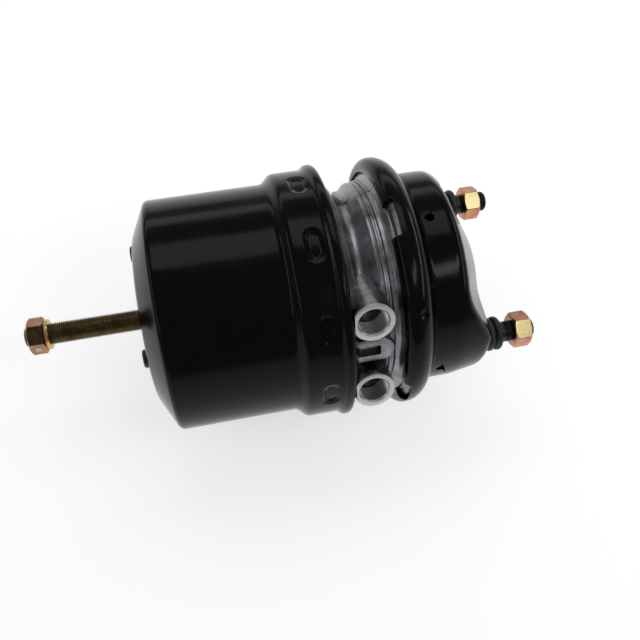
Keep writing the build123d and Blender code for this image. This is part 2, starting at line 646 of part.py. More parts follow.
def tube_seal_spans():
    """Where the two lip seals sit, one at each end of the hub."""
    low, high = tube_bush_span()
    inset = (HUB_LENGTH - TUBE_BUSH_LENGTH) / 4
    return [
        (low - inset - TUBE_SEAL_WIDTH / 2, low - inset + TUBE_SEAL_WIDTH / 2),
        (high + inset - TUBE_SEAL_WIDTH / 2, high + inset + TUBE_SEAL_WIDTH / 2),
    ]


def tube_grooves():
    grooves = [ring(*tube_bush_span(), TUBE_R, TUBE_BUSH_R)]
    grooves += [ring(*span, TUBE_R, TUBE_SEAL_R) for span in tube_seal_spans()]
    return grooves


def tube_guide_bush():
    return ring(*tube_bush_span(), TUBE_R + RUNNING_GAP, TUBE_BUSH_R)


def tube_seals():
    return Compound([ring(*span, TUBE_R + RUNNING_GAP, TUBE_SEAL_R) for span in tube_seal_spans()])


# ---- spring housing ---------------------------------------------------------------------------
def end_wall_line():
    """Outside corners of the spring housing, from the bush to the folded edge."""
    return [
        (END_FACE, BUSH_R),
        (END_FACE, CROWN_TOP_R),
        (CONE_BACK, CONE_TOP_R),
        (BARREL_BACK, BARREL_R),
        (BARREL_FRONT, BARREL_R),
        (SHOULDER_FRONT, SKIRT_R),
        (CRIMP_FRONT - CRIMP_LENGTH - CRIMP_RISE, SKIRT_R),
        (CRIMP_FRONT - CRIMP_LENGTH, CRIMP_R),
        (CRIMP_FRONT, CRIMP_R),
        (CRIMP_FRONT, CRIMP_EDGE_R),
    ]


def plug_frame(angle):
    """A frame on the end wall at a plug: its z points out through the wall."""
    crown = (CONE_TOP_R - CROWN_TOP_R, CONE_BACK - END_FACE)
    share = (PLUG_CIRCLE_R - CROWN_TOP_R) / crown[0]
    x = END_FACE + share * crown[1]
    out = Vector(-crown[0], crown[1], 0)
    return at_angle(angle) * Plane(origin=(x, PLUG_CIRCLE_R, 0), z_dir=out).location


def plug_frames():
    return [plug_frame(PORT_ANGLE + i * 360 / PLUG_COUNT) for i in range(PLUG_COUNT)]


def spring_housing():
    bends = [
        CONE_BEND_R, CONE_BEND_R, BARREL_CORNER_R, SHOULDER_BEND_R, SHOULDER_BEND_R,
        CRIMP_BEND_R, CRIMP_BEND_R, CRIMP_BEND_R,
    ]
    body = pressed_sheet(end_wall_line(), bends, WALL)
    for frame in plug_frames():
        body -= frame * Pos(Z=-WALL) * Cylinder(PLUG_STEM_R + SEAT_GAP, 4 * WALL)
    dent_x = CRIMP_FRONT - DENT_BACK
    shallow = SlotOverall(DENT_LENGTH, DENT_WIDTH, rotation=90)
    deep = SlotOverall(DENT_SLOT_LENGTH, DENT_SLOT_WIDTH, rotation=90)
    cut = extrude(outward_plane(dent_x, SKIRT_R - DENT_DEPTH) * shallow, WALL)
    cut += extrude(outward_plane(dent_x, SKIRT_R - DENT_SLOT_DEPTH) * deep, WALL)
    pitch = 360 / DENT_COUNT
    for i in range(DENT_COUNT):
        body -= at_angle(PORT_ANGLE + (i + 0.5) * pitch) * cut
    return body


def breather_plugs():
    plugs = []
    for frame in plug_frames():
        head = Cylinder(PLUG_HEAD_R, PLUG_HEAD_THICK, align=(Align.CENTER, Align.CENTER, Align.MIN))
        head = fillet(head.edges().sort_by(Axis.Z)[-1], PLUG_HEAD_THICK / 3)
        stem_length = WALL + PLUG_BARB_THICK
        stem = Pos(Z=-stem_length / 2) * Cylinder(PLUG_STEM_R, stem_length)
        barb = Pos(Z=-WALL - SEAT_GAP - PLUG_BARB_THICK / 2) * Cylinder(PLUG_BARB_R, PLUG_BARB_THICK)
        plugs.append(frame * (head + stem + barb))
    return Compound(plugs)


def bolt_bush():
    """Threaded bush fixed inside the end wall, with its neck through the wall."""
    collar_back = END_FACE + WALL + SEAT_GAP
    body = ring(END_FACE, collar_back, PITCH_R + RUNNING_GAP, BUSH_R - SEAT_GAP)
    return body + ring(collar_back, collar_back + BUSH_COLLAR_THICK, PITCH_R + RUNNING_GAP, BUSH_COLLAR_R)


# ---- power spring and piston ------------------------------------------------------------------
def spring_seat_front():
    """Front face of the pad that the power spring stands on."""
    lean = (CONE_BACK - END_FACE) / (CONE_TOP_R - CROWN_TOP_R)
    wall_x = END_FACE + (POWER_SEAT_OUT_R - CROWN_TOP_R) * lean
    return wall_x + WALL * hypot(1, lean) + POWER_SEAT_THICK


def spring_seat():
    """Moulded pad that fills the crown of the end wall, pierced for the breathers."""
    lean = (CONE_BACK - END_FACE) / (CONE_TOP_R - CROWN_TOP_R)
    inner = WALL * hypot(1, lean) + SEAT_GAP
    back_low = END_FACE + (POWER_SEAT_IN_R - CROWN_TOP_R) * lean + inner
    back_high = END_FACE + (POWER_SEAT_OUT_R - CROWN_TOP_R) * lean + inner
    front = spring_seat_front()
    pad = turned(
        (back_low, POWER_SEAT_IN_R),
        (front, POWER_SEAT_IN_R),
        (front, POWER_SEAT_OUT_R),
        (back_high, POWER_SEAT_OUT_R),
    )
    for frame in plug_frames():
        pad -= frame * Cylinder(PLUG_BARB_R + LOOSE_GAP, 8 * WALL)
    return pad


def power_spring():
    return coil(spring_seat_front(), PISTON_SEAT, POWER_SMALL_R, POWER_LARGE_R, POWER_WIRE_R, POWER_TURNS)


def piston_ring_spans():
    """Grooves of the guide ring and the seal, from the open end of the piston."""
    guide = PISTON_BACK + RING_LAND
    seal = guide + GUIDE_RING_WIDTH + RING_LAND
    return (guide, guide + GUIDE_RING_WIDTH), (seal, seal + PISTON_SEAL_WIDTH)


def parking_piston():
    step = PISTON_BACK + PISTON_GUIDE_LENGTH
    hub_back = PISTON_SEAT - PISTON_HUB_LENGTH
    collar_front = hub_back + PISTON_COLLAR
    body = turned(
        (PISTON_BACK, PISTON_BORE_R),
        (PISTON_BACK, PISTON_GUIDE_R),
        (step, PISTON_GUIDE_R),
        (step + 2 * (PISTON_GUIDE_R - PISTON_SKIRT_R), PISTON_SKIRT_R),
        (PISTON_FRONT, PISTON_SKIRT_R),
        (PISTON_FRONT, TUBE_R + SEAT_GAP / 2),
        (collar_front, TUBE_R + SEAT_GAP / 2),
        (collar_front, THREAD_R + LOOSE_GAP),
        (hub_back, THREAD_R + LOOSE_GAP),
        (hub_back, PISTON_HUB_R),
        (PISTON_SEAT, PISTON_HUB_R),
        (PISTON_SEAT, PISTON_BORE_R),
    )
    guide, seal = piston_ring_spans()
    body -= ring(*guide, PISTON_GUIDE_R - GUIDE_RING_DEPTH, BARREL_R)
    body -= ring(*seal, PISTON_GUIDE_R - PISTON_SEAL_DEPTH, BARREL_R)
    return body


def piston_guide_ring():
    inner = PISTON_GUIDE_R - GUIDE_RING_DEPTH
    return ring(*piston_ring_spans()[0], inner, BARREL_BORE_R - RUNNING_GAP)


def piston_seal():
    """Lip seal: a U section that opens towards the compressed air."""
    low, high = piston_ring_spans()[1]
    inner = PISTON_GUIDE_R - PISTON_SEAL_DEPTH
    outer = BARREL_BORE_R - RUNNING_GAP
    middle = (inner + outer) / 2
    lip = (outer - inner) / 4
    return turned(
        (low, inner),
        (high, inner),
        (high, middle - lip / 2),
        (low + (high - low) / 2, middle),
        (high, middle + lip / 2),
        (high, outer),
        (low, outer),
    )


def tube_back():
    return PISTON_SEAT - PISTON_HUB_LENGTH + PISTON_COLLAR


def push_tube():
    return ring(tube_back(), DISH_FLOOR - TUBE_CAP_THICK, TUBE_BORE_R, TUBE_R)


def tube_cap():
    shoulder = DISH_FLOOR - TUBE_CAP_THICK
    cap = round_bar(shoulder, DISH_FLOOR, TUBE_R, 0, EDGE_BREAK)
    return cap + round_bar(shoulder - TUBE_CAP_SPIGOT, shoulder, TUBE_BORE_R - SEAT_GAP)


# ---- release bolt -----------------------------------------------------------------------------
def thrust_washer():
    back = tube_back() + SEAT_GAP
    return ring(back, back + THRUST_WASHER_THICK, THREAD_R + LOOSE_GAP, BOLT_HEAD_R)


def release_bolt():
    head_back = tube_back() + 2 * SEAT_GAP + THRUST_WASHER_THICK
    shank = round_bar(BOLT_END, head_back, PITCH_R, EDGE_BREAK)
    bolt = shank + round_bar(head_back, head_back + BOLT_HEAD_THICK, BOLT_HEAD_R, 0, EDGE_BREAK)
    return bolt - nut_pin_bar()


def release_nut_back():
    return BOLT_END + BOLT_TIP


def nut_pin_bar():
    """The cross pin, through one pair of flats of the nut."""
    middle = release_nut_back() + RELEASE_NUT_HEIGHT / 2
    bar = radial_bar(middle, -HEX_ACROSS_FLATS / 2, HEX_ACROSS_FLATS / 2, NUT_PIN_R)
    return at_angle(HEX_TURN + NUT_PIN_TURN) * bar


def release_nut():
    nut = hexagon_nut(release_nut_back(), RELEASE_NUT_HEIGHT, PITCH_R)
    return nut - nut_pin_bar()


def release_washer():
    back = release_nut_back() + RELEASE_NUT_HEIGHT
    return ring(back, back + RELEASE_WASHER_THICK, THREAD_R + SEAT_GAP, RELEASE_WASHER_R)


# ---- diaphragm, push plate, rod ---------------------------------------------------------------
def diaphragm():
    """Rubber diaphragm: bead held between flange and rim, then down the dish and across it."""
    slope = DISH_DEPTH / (DISH_MOUTH_R - DISH_FLOOR_R)
    bead_r = RIM_R - WALL - 2 * LOOSE_GAP
    bead_front = FLANGE_FACE + BEAD_THICK
    rise = (RIM_R - SERVICE_R) / RIM_SHOULDER_RUN
    shoulder_x = -RIM_FOOT - (WALL + LOOSE_GAP) * hypot(1, rise) / rise
    bead_low_r = SERVICE_R + (shoulder_x - bead_front) * rise
    front = DIAPHRAGM_BACK + DIAPHRAGM_THICK
    knee_r = DISH_FLOOR_R - LOOSE_GAP
    side_r = knee_r - DIAPHRAGM_THICK * (hypot(1, slope) - 1) / slope
    mouth_r = DISH_MOUTH_R - LOOSE_GAP * hypot(1, slope) / slope
    inner_r = mouth_r - DIAPHRAGM_THICK * hypot(1, slope) / slope
    return turned(
        (DIAPHRAGM_BACK, 0),
        (front, 0),
        (front, side_r),
        (FLANGE_FACE + SEAT_GAP, inner_r),
        (bead_front, inner_r + DIAPHRAGM_THICK),
        (bead_front, bead_low_r),
        (FLANGE_FACE + SEAT_GAP, bead_r),
        (FLANGE_FACE + SEAT_GAP, mouth_r),
        (DIAPHRAGM_BACK, knee_r),
    )


def push_plate():
    """Flat plate with rounded edges and a seat in its middle for the rod."""
    disc = round_bar(PLATE_BACK, PLATE_FRONT, PLATE_R)
    disc = fillet(disc.edges().filter_by(GeomType.CIRCLE), PLATE_EDGE_R)
    return disc - round_bar(PLATE_BACK + PLATE_THICK / 2, PLATE_FRONT + CUT_PAST, ROD_R)


def push_rod():
    """Solid rod with a ball nose for the lever of the brake caliper."""
    back = PLATE_BACK + PLATE_THICK / 2
    nose = ROD_REACH - ROD_R
    rod = round_bar(back, nose, ROD_R)
    ball = Pos(X=nose) * Sphere(ROD_R) & round_bar(nose, ROD_REACH + CUT_PAST, ROD_R + CUT_PAST)
    return rod + ball


def return_spring():
    return coil(PLATE_FRONT, STUD_PLATE_BACK, RETURN_LARGE_R, RETURN_SMALL_R, RETURN_WIRE_R, RETURN_TURNS)


def push_rod_boot():
    """Rubber boot snapped into the front opening, folded back to a neck round the rod."""
    back = BOOT_BACK
    front = SEAT_GAP
    outer_r = ROD_OPENING_R - SEAT_GAP
    fold_r = (BOOT_LIP_R + ROD_R) / 2
    neck_r = ROD_R + LOOSE_GAP
    return turned(
        (front, outer_r),
        (back, outer_r),
        (back, BOOT_LIP_R),
        (front - 2 * BOOT_WALL, BOOT_LIP_R),
        (back, fold_r + 2 * BOOT_WALL),
        (back, fold_r),
        (front - BOOT_WALL, neck_r + BOOT_WALL),
        (front - BOOT_WALL, neck_r),
        (front, neck_r),
        (front, neck_r + BOOT_WALL),
        (back + BOOT_WALL, fold_r + BOOT_WALL),
        (front, BOOT_LIP_R - BOOT_WALL),
    )


def rod_guide_disc():
    """Moulded disc behind the boot that keeps the rod in the middle of the opening."""
    hole_r = ROD_R + LOOSE_GAP
    outer_r = RETURN_SMALL_R - RETURN_WIRE_R - 2 * LOOSE_GAP
    return ring(GUIDE_DISC_BACK, GUIDE_DISC_BACK + GUIDE_DISC_THICK, hole_r, outer_r)


# ---- every node and its maker -----------------------------------------------------------------
NODES = {
    "service_housing": service_housing,
    "stud_plate": stud_plate,
    "mounting_studs": mounting_studs,
    "mounting_nuts": mounting_nuts,
    "stud_sleeves": stud_sleeves,
    "centre_flange": centre_flange,
    "flange_seal_ring": flange_seal_ring,
    "tube_guide_bush": tube_guide_bush,
    "tube_seals": tube_seals,
    "spring_housing": spring_housing,
    "breather_plugs": breather_plugs,
    "bolt_bush": bolt_bush,
    "spring_seat": spring_seat,
    "power_spring": power_spring,
    "parking_piston": parking_piston,
    "piston_guide_ring": piston_guide_ring,
    "piston_seal": piston_seal,
    "push_tube": push_tube,
    "tube_cap": tube_cap,
    "thrust_washer": thrust_washer,
    "release_bolt": release_bolt,
    "release_nut": release_nut,
    "release_nut_pin": nut_pin_bar,
    "release_washer": release_washer,
    "diaphragm": diaphragm,
    "push_plate": push_plate,
    "push_rod": push_rod,
    "return_spring": return_spring,
    "push_rod_boot": push_rod_boot,
    "rod_guide_disc": rod_guide_disc,
}

os.makedirs("parts", exist_ok=True)
for name, make in NODES.items():
    export_step(make(), f"parts/{name}.step")
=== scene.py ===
# %% [markdown]
# # A spring brake chamber
# The chamber is two black pressed steel housings clamped onto a die-cast aluminium flange. The
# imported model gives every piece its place. This script dresses it: it replaces the plain turned
# solids that show with pieces that have real threads, dents, windows and cast corners.

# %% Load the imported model
import json
from math import atan2, cos, hypot, pi, radians, sin, sqrt, tan

import bmesh
import bpy
from mathutils import Matrix, Vector


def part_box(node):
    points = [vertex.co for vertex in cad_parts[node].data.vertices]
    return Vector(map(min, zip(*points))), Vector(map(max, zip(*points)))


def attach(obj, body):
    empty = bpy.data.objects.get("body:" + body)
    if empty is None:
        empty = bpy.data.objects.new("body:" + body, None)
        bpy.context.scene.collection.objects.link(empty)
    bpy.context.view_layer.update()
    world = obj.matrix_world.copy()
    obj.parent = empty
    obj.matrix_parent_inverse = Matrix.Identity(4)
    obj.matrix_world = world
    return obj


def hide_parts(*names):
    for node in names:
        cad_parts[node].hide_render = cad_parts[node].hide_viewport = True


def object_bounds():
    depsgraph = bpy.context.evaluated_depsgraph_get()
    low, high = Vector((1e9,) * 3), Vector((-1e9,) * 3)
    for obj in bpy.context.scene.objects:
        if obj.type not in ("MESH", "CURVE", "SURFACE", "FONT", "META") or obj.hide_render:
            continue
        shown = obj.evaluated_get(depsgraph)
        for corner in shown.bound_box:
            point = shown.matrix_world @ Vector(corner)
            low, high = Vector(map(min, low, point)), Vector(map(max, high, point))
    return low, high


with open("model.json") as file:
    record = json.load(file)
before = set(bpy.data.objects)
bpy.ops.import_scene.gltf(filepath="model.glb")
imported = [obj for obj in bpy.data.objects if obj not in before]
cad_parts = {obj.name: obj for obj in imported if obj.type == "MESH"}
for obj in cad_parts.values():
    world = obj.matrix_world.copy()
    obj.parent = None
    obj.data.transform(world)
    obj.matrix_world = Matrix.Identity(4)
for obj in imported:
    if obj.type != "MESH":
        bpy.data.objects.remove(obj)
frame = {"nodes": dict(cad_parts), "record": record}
cad_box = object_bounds()
nodes = frame["nodes"]
print("nodes", len(nodes), "box", [tuple(round(c, 4) for c in corner) for corner in cad_box])

# %% [markdown]
# Engineers size this part in millimetres and Blender works in metres. One factor, MM, converts
# where a number is written, so every size below can be read as it would be on a drawing.

# %% Units and stations along the axis
MM = 0.001
END_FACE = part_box("spring_housing")[0].x / MM
CRIMP_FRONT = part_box("spring_housing")[1].x / MM
LIP_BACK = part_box("service_housing")[0].x / MM
CLAMP_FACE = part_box("centre_flange")[1].x / MM
BOLT_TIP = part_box("release_bolt")[0].x / MM
PORT_X = -95.0
PORT_ANGLE = radians(153.3)
WALL = 3.0
print("end face", round(END_FACE, 1), "crimp", round(CRIMP_FRONT, 1), "lip", round(LIP_BACK, 1))

# %% [markdown]
# ## Camera, light and floor
# The camera stands above and to the left of the chamber and is rolled a little. A 42 mm lens on a
# 36 mm sensor gives the mild perspective of a product shot.

# %% Camera
camera_data = bpy.data.cameras.new("camera")
camera_data.lens = 42.19
camera_data.sensor_width = 36.0
camera = bpy.data.objects.new("camera", camera_data)
camera.location = Vector((-197.7, -276.0, 507.7)) * MM
camera.rotation_euler = (radians(27.24), radians(-2.77), radians(-11.92))
bpy.context.collection.objects.link(camera)
scene = bpy.context.scene
scene.camera = camera
scene.view_settings.view_transform = "Standard"

# %% [markdown]
# ## Material helpers
# A node material is a small graph. One function adds a node, sets it and links it, and another
# turns the sRGB colour that we see into the linear value that the renderer needs.

# %% Colour and node helpers
def linear(hex_colour):
    """An sRGB colour such as "8d9092" as linear RGBA."""
    parts = [int(hex_colour[i:i + 2], 16) / 255 for i in (0, 2, 4)]
    return [p / 12.92 if p <= 0.04045 else ((p + 0.055) / 1.055) ** 2.4 for p in parts] + [1.0]


def add(tree, kind, links=None, **settings):
    """Adds a node. Settings are properties or input names; links maps inputs to output sockets."""
    node = tree.nodes.new("ShaderNode" + kind)
    for key, value in settings.items():
        name = key.replace("_", " ")
        if hasattr(node, key):
            setattr(node, key, value)
        else:
            node.inputs[name].default_value = value
    for key, socket in (links or {}).items():
        tree.links.new(socket, node.inputs[key])
    return node


def ramp(tree, factor, stops):
    """A colour ramp from (position, hex colour) stops."""
    node = add(tree, "ValToRGB", {"Fac": factor})
    for i, (position, colour) in enumerate(stops):
        stop = node.color_ramp.elements[i] if i < 2 else node.color_ramp.elements.new(position)
        stop.position = position
        stop.color = linear(colour)
    return node.outputs["Color"]


def start_material(name, **shader_settings):
    """A new material with its principled shader, and the object coordinates."""
    material = bpy.data.materials.new(name)
    material.use_nodes = True
    tree = material.node_tree
    shader = tree.nodes["Principled BSDF"]
    for key, value in shader_settings.items():
        shader.inputs[key.replace("_", " ")].default_value = value
    place = add(tree, "TexCoord").outputs["Object"]
    return material, tree, shader, place


def speckle(tree, place, size_mm, detail=2.0, roughness=0.5, distortion=0.0):
    """Noise whose blotches are about size_mm across."""
    node = add(tree, "TexNoise", {"Vector": place}, Scale=1 / (size_mm * MM), Detail=detail,
               Roughness=roughness, Distortion=distortion)
    return node.outputs["Fac"]


def spread(tree, factor, low, high, start=0.3, end=0.7):
    """Maps a noise value onto a range, such as low to high roughness."""
    node = add(tree, "MapRange", {"Value": factor})
    for key, value in (("From Min", start), ("From Max", end), ("To Min", low), ("To Max", high)):
        node.inputs[key].default_value = value
    return node.outputs["Result"]


def bump(tree, shader, height, depth_mm, strength=1.0):
    """Raises the surface by depth_mm where the height input is one."""
    node = add(tree, "Bump", {"Height": height}, Strength=strength, Distance=depth_mm * MM)
    tree.links.new(node.outputs["Normal"], shader.inputs["Normal"])


# %% [markdown]
# ### Stoved enamel on pressed steel
# Both housings are dipped, then stoved: a hard black film with the faint waviness called orange
# peel. The waves are a millimetre or two across. A thin haze changes its tone and its roughness in
# patches, and a few pale specks of dust lie on it.

# %% Black stoved enamel
def make_enamel():
    material, tree, shader, place = start_material("black_stoved_enamel", IOR=1.5)
    shader.inputs["Specular IOR Level"].default_value = 0.12
    haze = speckle(tree, place, 16, detail=5, roughness=0.6)
    dust = speckle(tree, place, 0.7, detail=2)
    film = ramp(tree, haze, [(0.35, "050506"), (0.7, "09090a")])
    specks = ramp(tree, dust, [(0.74, "000000"), (0.82, "111112")])
    colour = add(tree, "Mix", data_type="RGBA", blend_type="ADD")
    tree.links.new(film, colour.inputs[6])
    tree.links.new(specks, colour.inputs[7])
    colour.inputs[0].default_value = 1.0
    tree.links.new(colour.outputs[2], shader.inputs["Base Color"])
    tree.links.new(spread(tree, haze, 0.12, 0.2), shader.inputs["Roughness"])
    bump(tree, shader, speckle(tree, place, 1.6, detail=1), 0.005)
    return material


enamel = make_enamel()


# %% [markdown]
# ### Die-cast aluminium
# The flange leaves its die bright but not smooth: a fine grain from the die's skin, and soft patches,
# lighter or darker and more or less rough, where the metal chilled at different times.

# %% Die-cast aluminium
def make_cast_aluminium():
    material, tree, shader, place = start_material("diecast_aluminium", Metallic=1.0)
    patches = speckle(tree, place, 9, detail=6, roughness=0.65)
    grain = speckle(tree, place, 0.45, detail=3, roughness=0.6)
    colour = ramp(tree, patches, [(0.3, "68676b"), (0.5, "87878b"), (0.72, "a5a5a9")])
    tree.links.new(colour, shader.inputs["Base Color"])
    tree.links.new(spread(tree, patches, 0.24, 0.4), shader.inputs["Roughness"])
    both = add(tree, "Math", {0: grain, 1: patches}, operation="ADD").outputs[0]
    bump(tree, shader, both, 0.07, 0.6)
    return material


cast_aluminium = make_cast_aluminium()


# %% [markdown]
# ### Faced aluminium
# The port mouths are cut flat by a facing tool. It leaves fine rings round each port's own axis,
# so the ring pattern is turned onto that axis with a Mapping node. Real rings are 0.1 mm apart;
# they are drawn 0.7 mm apart so that they show. A wave texture of scale 1 repeats every 0.314 m.

# %% Machined aluminium
WAVE_AT_SCALE_1 = 0.314
FACING_PITCH = 0.7


def make_faced_aluminium(centre):
    material, tree, shader, place = start_material("faced_aluminium", Metallic=1.0, Roughness=0.42)
    mapping = add(tree, "Mapping", {"Vector": place}, vector_type="TEXTURE")
    mapping.inputs["Location"].default_value = centre
    mapping.inputs["Rotation"].default_value = (PORT_ANGLE - pi / 2, 0, 0)
    rings = add(tree, "TexWave", {"Vector": mapping.outputs["Vector"]}, wave_type="RINGS",
                rings_direction="Z", Scale=WAVE_AT_SCALE_1 / (FACING_PITCH * MM), Distortion=0.4,
                Detail=1.0)
    colour = ramp(tree, rings.outputs["Fac"], [(0.2, "b4b6b9"), (0.8, "cbccce")])
    tree.links.new(colour, shader.inputs["Base Color"])
    bump(tree, shader, rings.outputs["Fac"], 0.012, 0.6)
    return material


# %% [markdown]
# The crests keep the metal's bright colour, and painted shade darkens the roots, where shade falls into the
# thread.
# The material measures each point's distance from the port's own axis, so the dark line follows the
# thread's helix.

# %% Tapped aluminium
def make_tapped_aluminium(centre, crest_mm, root_mm):
    material, tree, shader, place = start_material("tapped_aluminium_painted_root_shade", Metallic=1.0)
    mapping = add(tree, "Mapping", {"Vector": place}, vector_type="TEXTURE")
    mapping.inputs["Location"].default_value = centre
    mapping.inputs["Rotation"].default_value = (PORT_ANGLE - pi / 2, 0, 0)
    flat = add(tree, "VectorMath", {0: mapping.outputs["Vector"]}, operation="MULTIPLY")
    flat.inputs[1].default_value = (1, 1, 0)
    radius = add(tree, "VectorMath", {0: flat.outputs["Vector"]}, operation="LENGTH").outputs["Value"]
    # Painted shade: the colour goes dark from the crest radius out to the root radius.
    depth = spread(tree, radius, 0, 1, crest_mm * MM, root_mm * MM)
    tree.links.new(ramp(tree, depth, [(0.1, "bcbcc0"), (0.75, "1b1a1c")]), shader.inputs["Base Color"])
    streaks = speckle(tree, place, 1.2, detail=3, distortion=0.8)
    tree.links.new(spread(tree, streaks, 0.18, 0.3), shader.inputs["Roughness"])
    bump(tree, shader, streaks, 0.01, 0.4)
    return material


# %% [markdown]
# ### Yellow zinc
# The nuts are zinc plated and then dipped in a chromate bath. The film is thinner than a
# wavelength, so it shines in patches of pink, straw and green a few millimetres across.

# %% Yellow chromate zinc
def make_yellow_zinc(name, stops, roughness):
    material, tree, shader, place = start_material(name, Metallic=1.0)
    film = speckle(tree, place, 7, detail=3, roughness=0.55, distortion=0.6)
    scratches = speckle(tree, place, 0.5, detail=3)
    tree.links.new(ramp(tree, film, stops), shader.inputs["Base Color"])
    tree.links.new(spread(tree, scratches, roughness - 0.06, roughness + 0.1), shader.inputs["Roughness"])
    bump(tree, shader, scratches, 0.02, 0.5)
    return material


yellow_zinc = make_yellow_zinc(
    "yellow_chromate_zinc",
    [(0.3, "b9766a"), (0.45, "d99a68"), (0.56, "e6c37a"), (0.7, "b9a77c"), (0.8, "c48a86")], 0.26)
olive_zinc = make_yellow_zinc(
    "olive_chromate_zinc",
    [(0.3, "54452f"), (0.5, "6b5a3e"), (0.62, "786a48"), (0.75, "575038")], 0.32)
clear_zinc = make_yellow_zinc(
    "clear_zinc_plate", [(0.3, "8f9093"), (0.5, "a7a8aa"), (0.7, "b9b8b2")], 0.32)


# %% [markdown]
# On a hexagon the colour also depends on which way a flat faces. The flats that turn away keep the film's
# own rose tint; the flat that faces up and towards the viewer gets a painted reflection instead: pale straw
# where the lamp above the camera would glare on the stud nuts, dark brown on the caging nut. A dot product
# of the surface's own normal with that one direction gives the mixing factor.

# %% Yellow chromate on hexagons
def make_hexagon_zinc_with_painted_reflection(name, facing, away, roughness):
    material, tree, shader, place = start_material(name, Metallic=1.0)
    normal = add(tree, "TexCoord").outputs["Normal"]
    dot = add(tree, "VectorMath", {0: normal}, operation="DOT_PRODUCT")
    # Painted reflection: this is the normal of the flat that faces the camera and the lamp above it.
    dot.inputs[1].default_value = (0, -0.443, 0.896)
    film = speckle(tree, place, 9, detail=3, distortion=0.5)
    front = ramp(tree, film, [(0.35, facing[0]), (0.65, facing[1])])
    side = ramp(tree, film, [(0.35, away[0]), (0.65, away[1])])
    mix = add(tree, "Mix", {0: spread(tree, dot.outputs["Value"], 0, 1, 0.9, 0.97), 6: side, 7: front},
              data_type="RGBA")
    tree.links.new(mix.outputs[2], shader.inputs["Base Color"])
    scratches = speckle(tree, place, 0.5, detail=3)
    tree.links.new(spread(tree, scratches, roughness - 0.05, roughness + 0.06), shader.inputs["Roughness"])
    bump(tree, shader, scratches, 0.012, 0.5)
    return material


# The first pair of colours is the painted reflection on the facing flat, the second the film's own rose
# tint.
nut_zinc = make_hexagon_zinc_with_painted_reflection("yellow_zinc_hexagon_painted_glare", ("e2cc92", "ead9a4"), ("b8766a", "cd9a72"), 0.3)
release_nut_zinc = make_hexagon_zinc_with_painted_reflection("olive_zinc_hexagon_painted_dark_reflection", ("4a3c2e", "64513a"), ("9c6654", "a98862"), 0.26)


# %% [markdown]
# ### Moulded rubber and plastic
# Rubber has almost no gloss and a bloom that greys it in patches. Moulded nylon is smoother, with
# the fine matte texture of its mould.

# %% Rubber and plastics
def make_moulded(name, stops, grain_mm, low, high, depth_mm):
    material, tree, shader, place = start_material(name, IOR=1.5)
    bloom = speckle(tree, place, 6, detail=4)
    grain = speckle(tree, place, grain_mm, detail=2)
    tree.links.new(ramp(tree, bloom, stops), shader.inputs["Base Color"])
    tree.links.new(spread(tree, bloom, low, high), shader.inputs["Roughness"])
    bump(tree, shader, grain, depth_mm, 0.6)
    return material


rubber = make_moulded("moulded_epdm_rubber", [(0.35, "0c0c0c"), (0.7, "171716")], 0.5, 0.42, 0.6, 0.04)
black_nylon = make_moulded("moulded_black_nylon", [(0.35, "0e0e0f"), (0.7, "191919")], 0.4, 0.3, 0.42, 0.03)
acetal = make_moulded("moulded_acetal", [(0.35, "b9b29c"), (0.7, "c9c3b0")], 0.4, 0.35, 0.45, 0.02)
phosphate = make_moulded("black_phosphate", [(0.35, "0a0a0a"), (0.7, "131312")], 0.2, 0.36, 0.5, 0.01)
spring_lacquer = make_moulded("dipped_spring_lacquer", [(0.35, "1c1c1e"), (0.7, "2a2a2c")],
                              1.2, 0.3, 0.5, 0.05)


# %% [markdown]
# ### Turned steel and bronze
# The hidden rods, plates and bushes are turned on a lathe, so their marks run round the main axis
# as bands across X, drawn 1 mm apart.

# %% Turned steel and bronze
TURNING_PITCH = 1.0


def make_turned(name, stops, roughness):
    material, tree, shader, place = start_material(name, Metallic=1.0, Roughness=roughness)
    bands = add(tree, "TexWave", {"Vector": place}, bands_direction="X",
                Scale=WAVE_AT_SCALE_1 / (TURNING_PITCH * MM), Distortion=0.6, Detail=2.0)
    stains = speckle(tree, place, 12, detail=4)
    tree.links.new(ramp(tree, stains, stops), shader.inputs["Base Color"])
    bump(tree, shader, bands.outputs["Fac"], 0.01, 0.5)
    return material


turned_steel = make_turned("turned_steel", [(0.35, "7c7d80"), (0.7, "9d9ea0")], 0.32)
bronze = make_turned("sintered_bronze", [(0.35, "a07a45"), (0.7, "b8935a")], 0.38)

# %% [markdown]
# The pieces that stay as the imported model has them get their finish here. Each node names a slot
# in the record, and each slot has one of the materials above.

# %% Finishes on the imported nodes
slot_material = {
    "black_enamel": enamel,
    "cast_aluminium": cast_aluminium,
    "yellow_zinc": yellow_zinc,
    "olive_zinc": olive_zinc,
    "zinc_steel": clear_zinc,
    "black_rubber": rubber,
    "black_plastic": black_nylon,
    "guide_plastic": acetal,
    "spring_coating": spring_lacquer,
    "bare_steel": turned_steel,
    "bronze": bronze,
}
for entry in frame["record"]["subparts"]:
    for place in nodes[entry["node"]].material_slots:
        place.material = slot_material[entry["material_slot"]]
print("finished", len(nodes), "packed nodes")


# %% [markdown]
# ## Modelling helpers
# Almost everything here was turned or pressed in the round, so the main tool is spin: draw half of
# the section as a line of (x, radius) points, round its corners, and turn it about X.

# %% Lines, rounded corners and spinning
def draw_line(bm, points, closed=False):
    """A line of (x, radius) points in millimetres, in the XY plane."""
    verts = [bm.verts.new((x * MM, r * MM, 0)) for x, r in points]
    edges = [bm.edges.new(pair) for pair in zip(verts, verts[1:])]
    if closed:
        edges.append(bm.edges.new((verts[-1], verts[0])))
    return verts, edges


def round_corner(bm, vert, radius, segments=6):
    """Turns one corner of a line into an arc of the radius in millimetres."""
    arms = [(edge.other_vert(vert).co - vert.co).normalized() for edge in vert.link_edges]
    turn = pi - arms[0].angle(arms[1])
    bmesh.ops.bevel(bm, geom=[vert], offset=radius * MM * tan(turn / 2), offset_type="OFFSET",
                    segments=segments, profile=0.5, affect="VERTICES", material=-1)


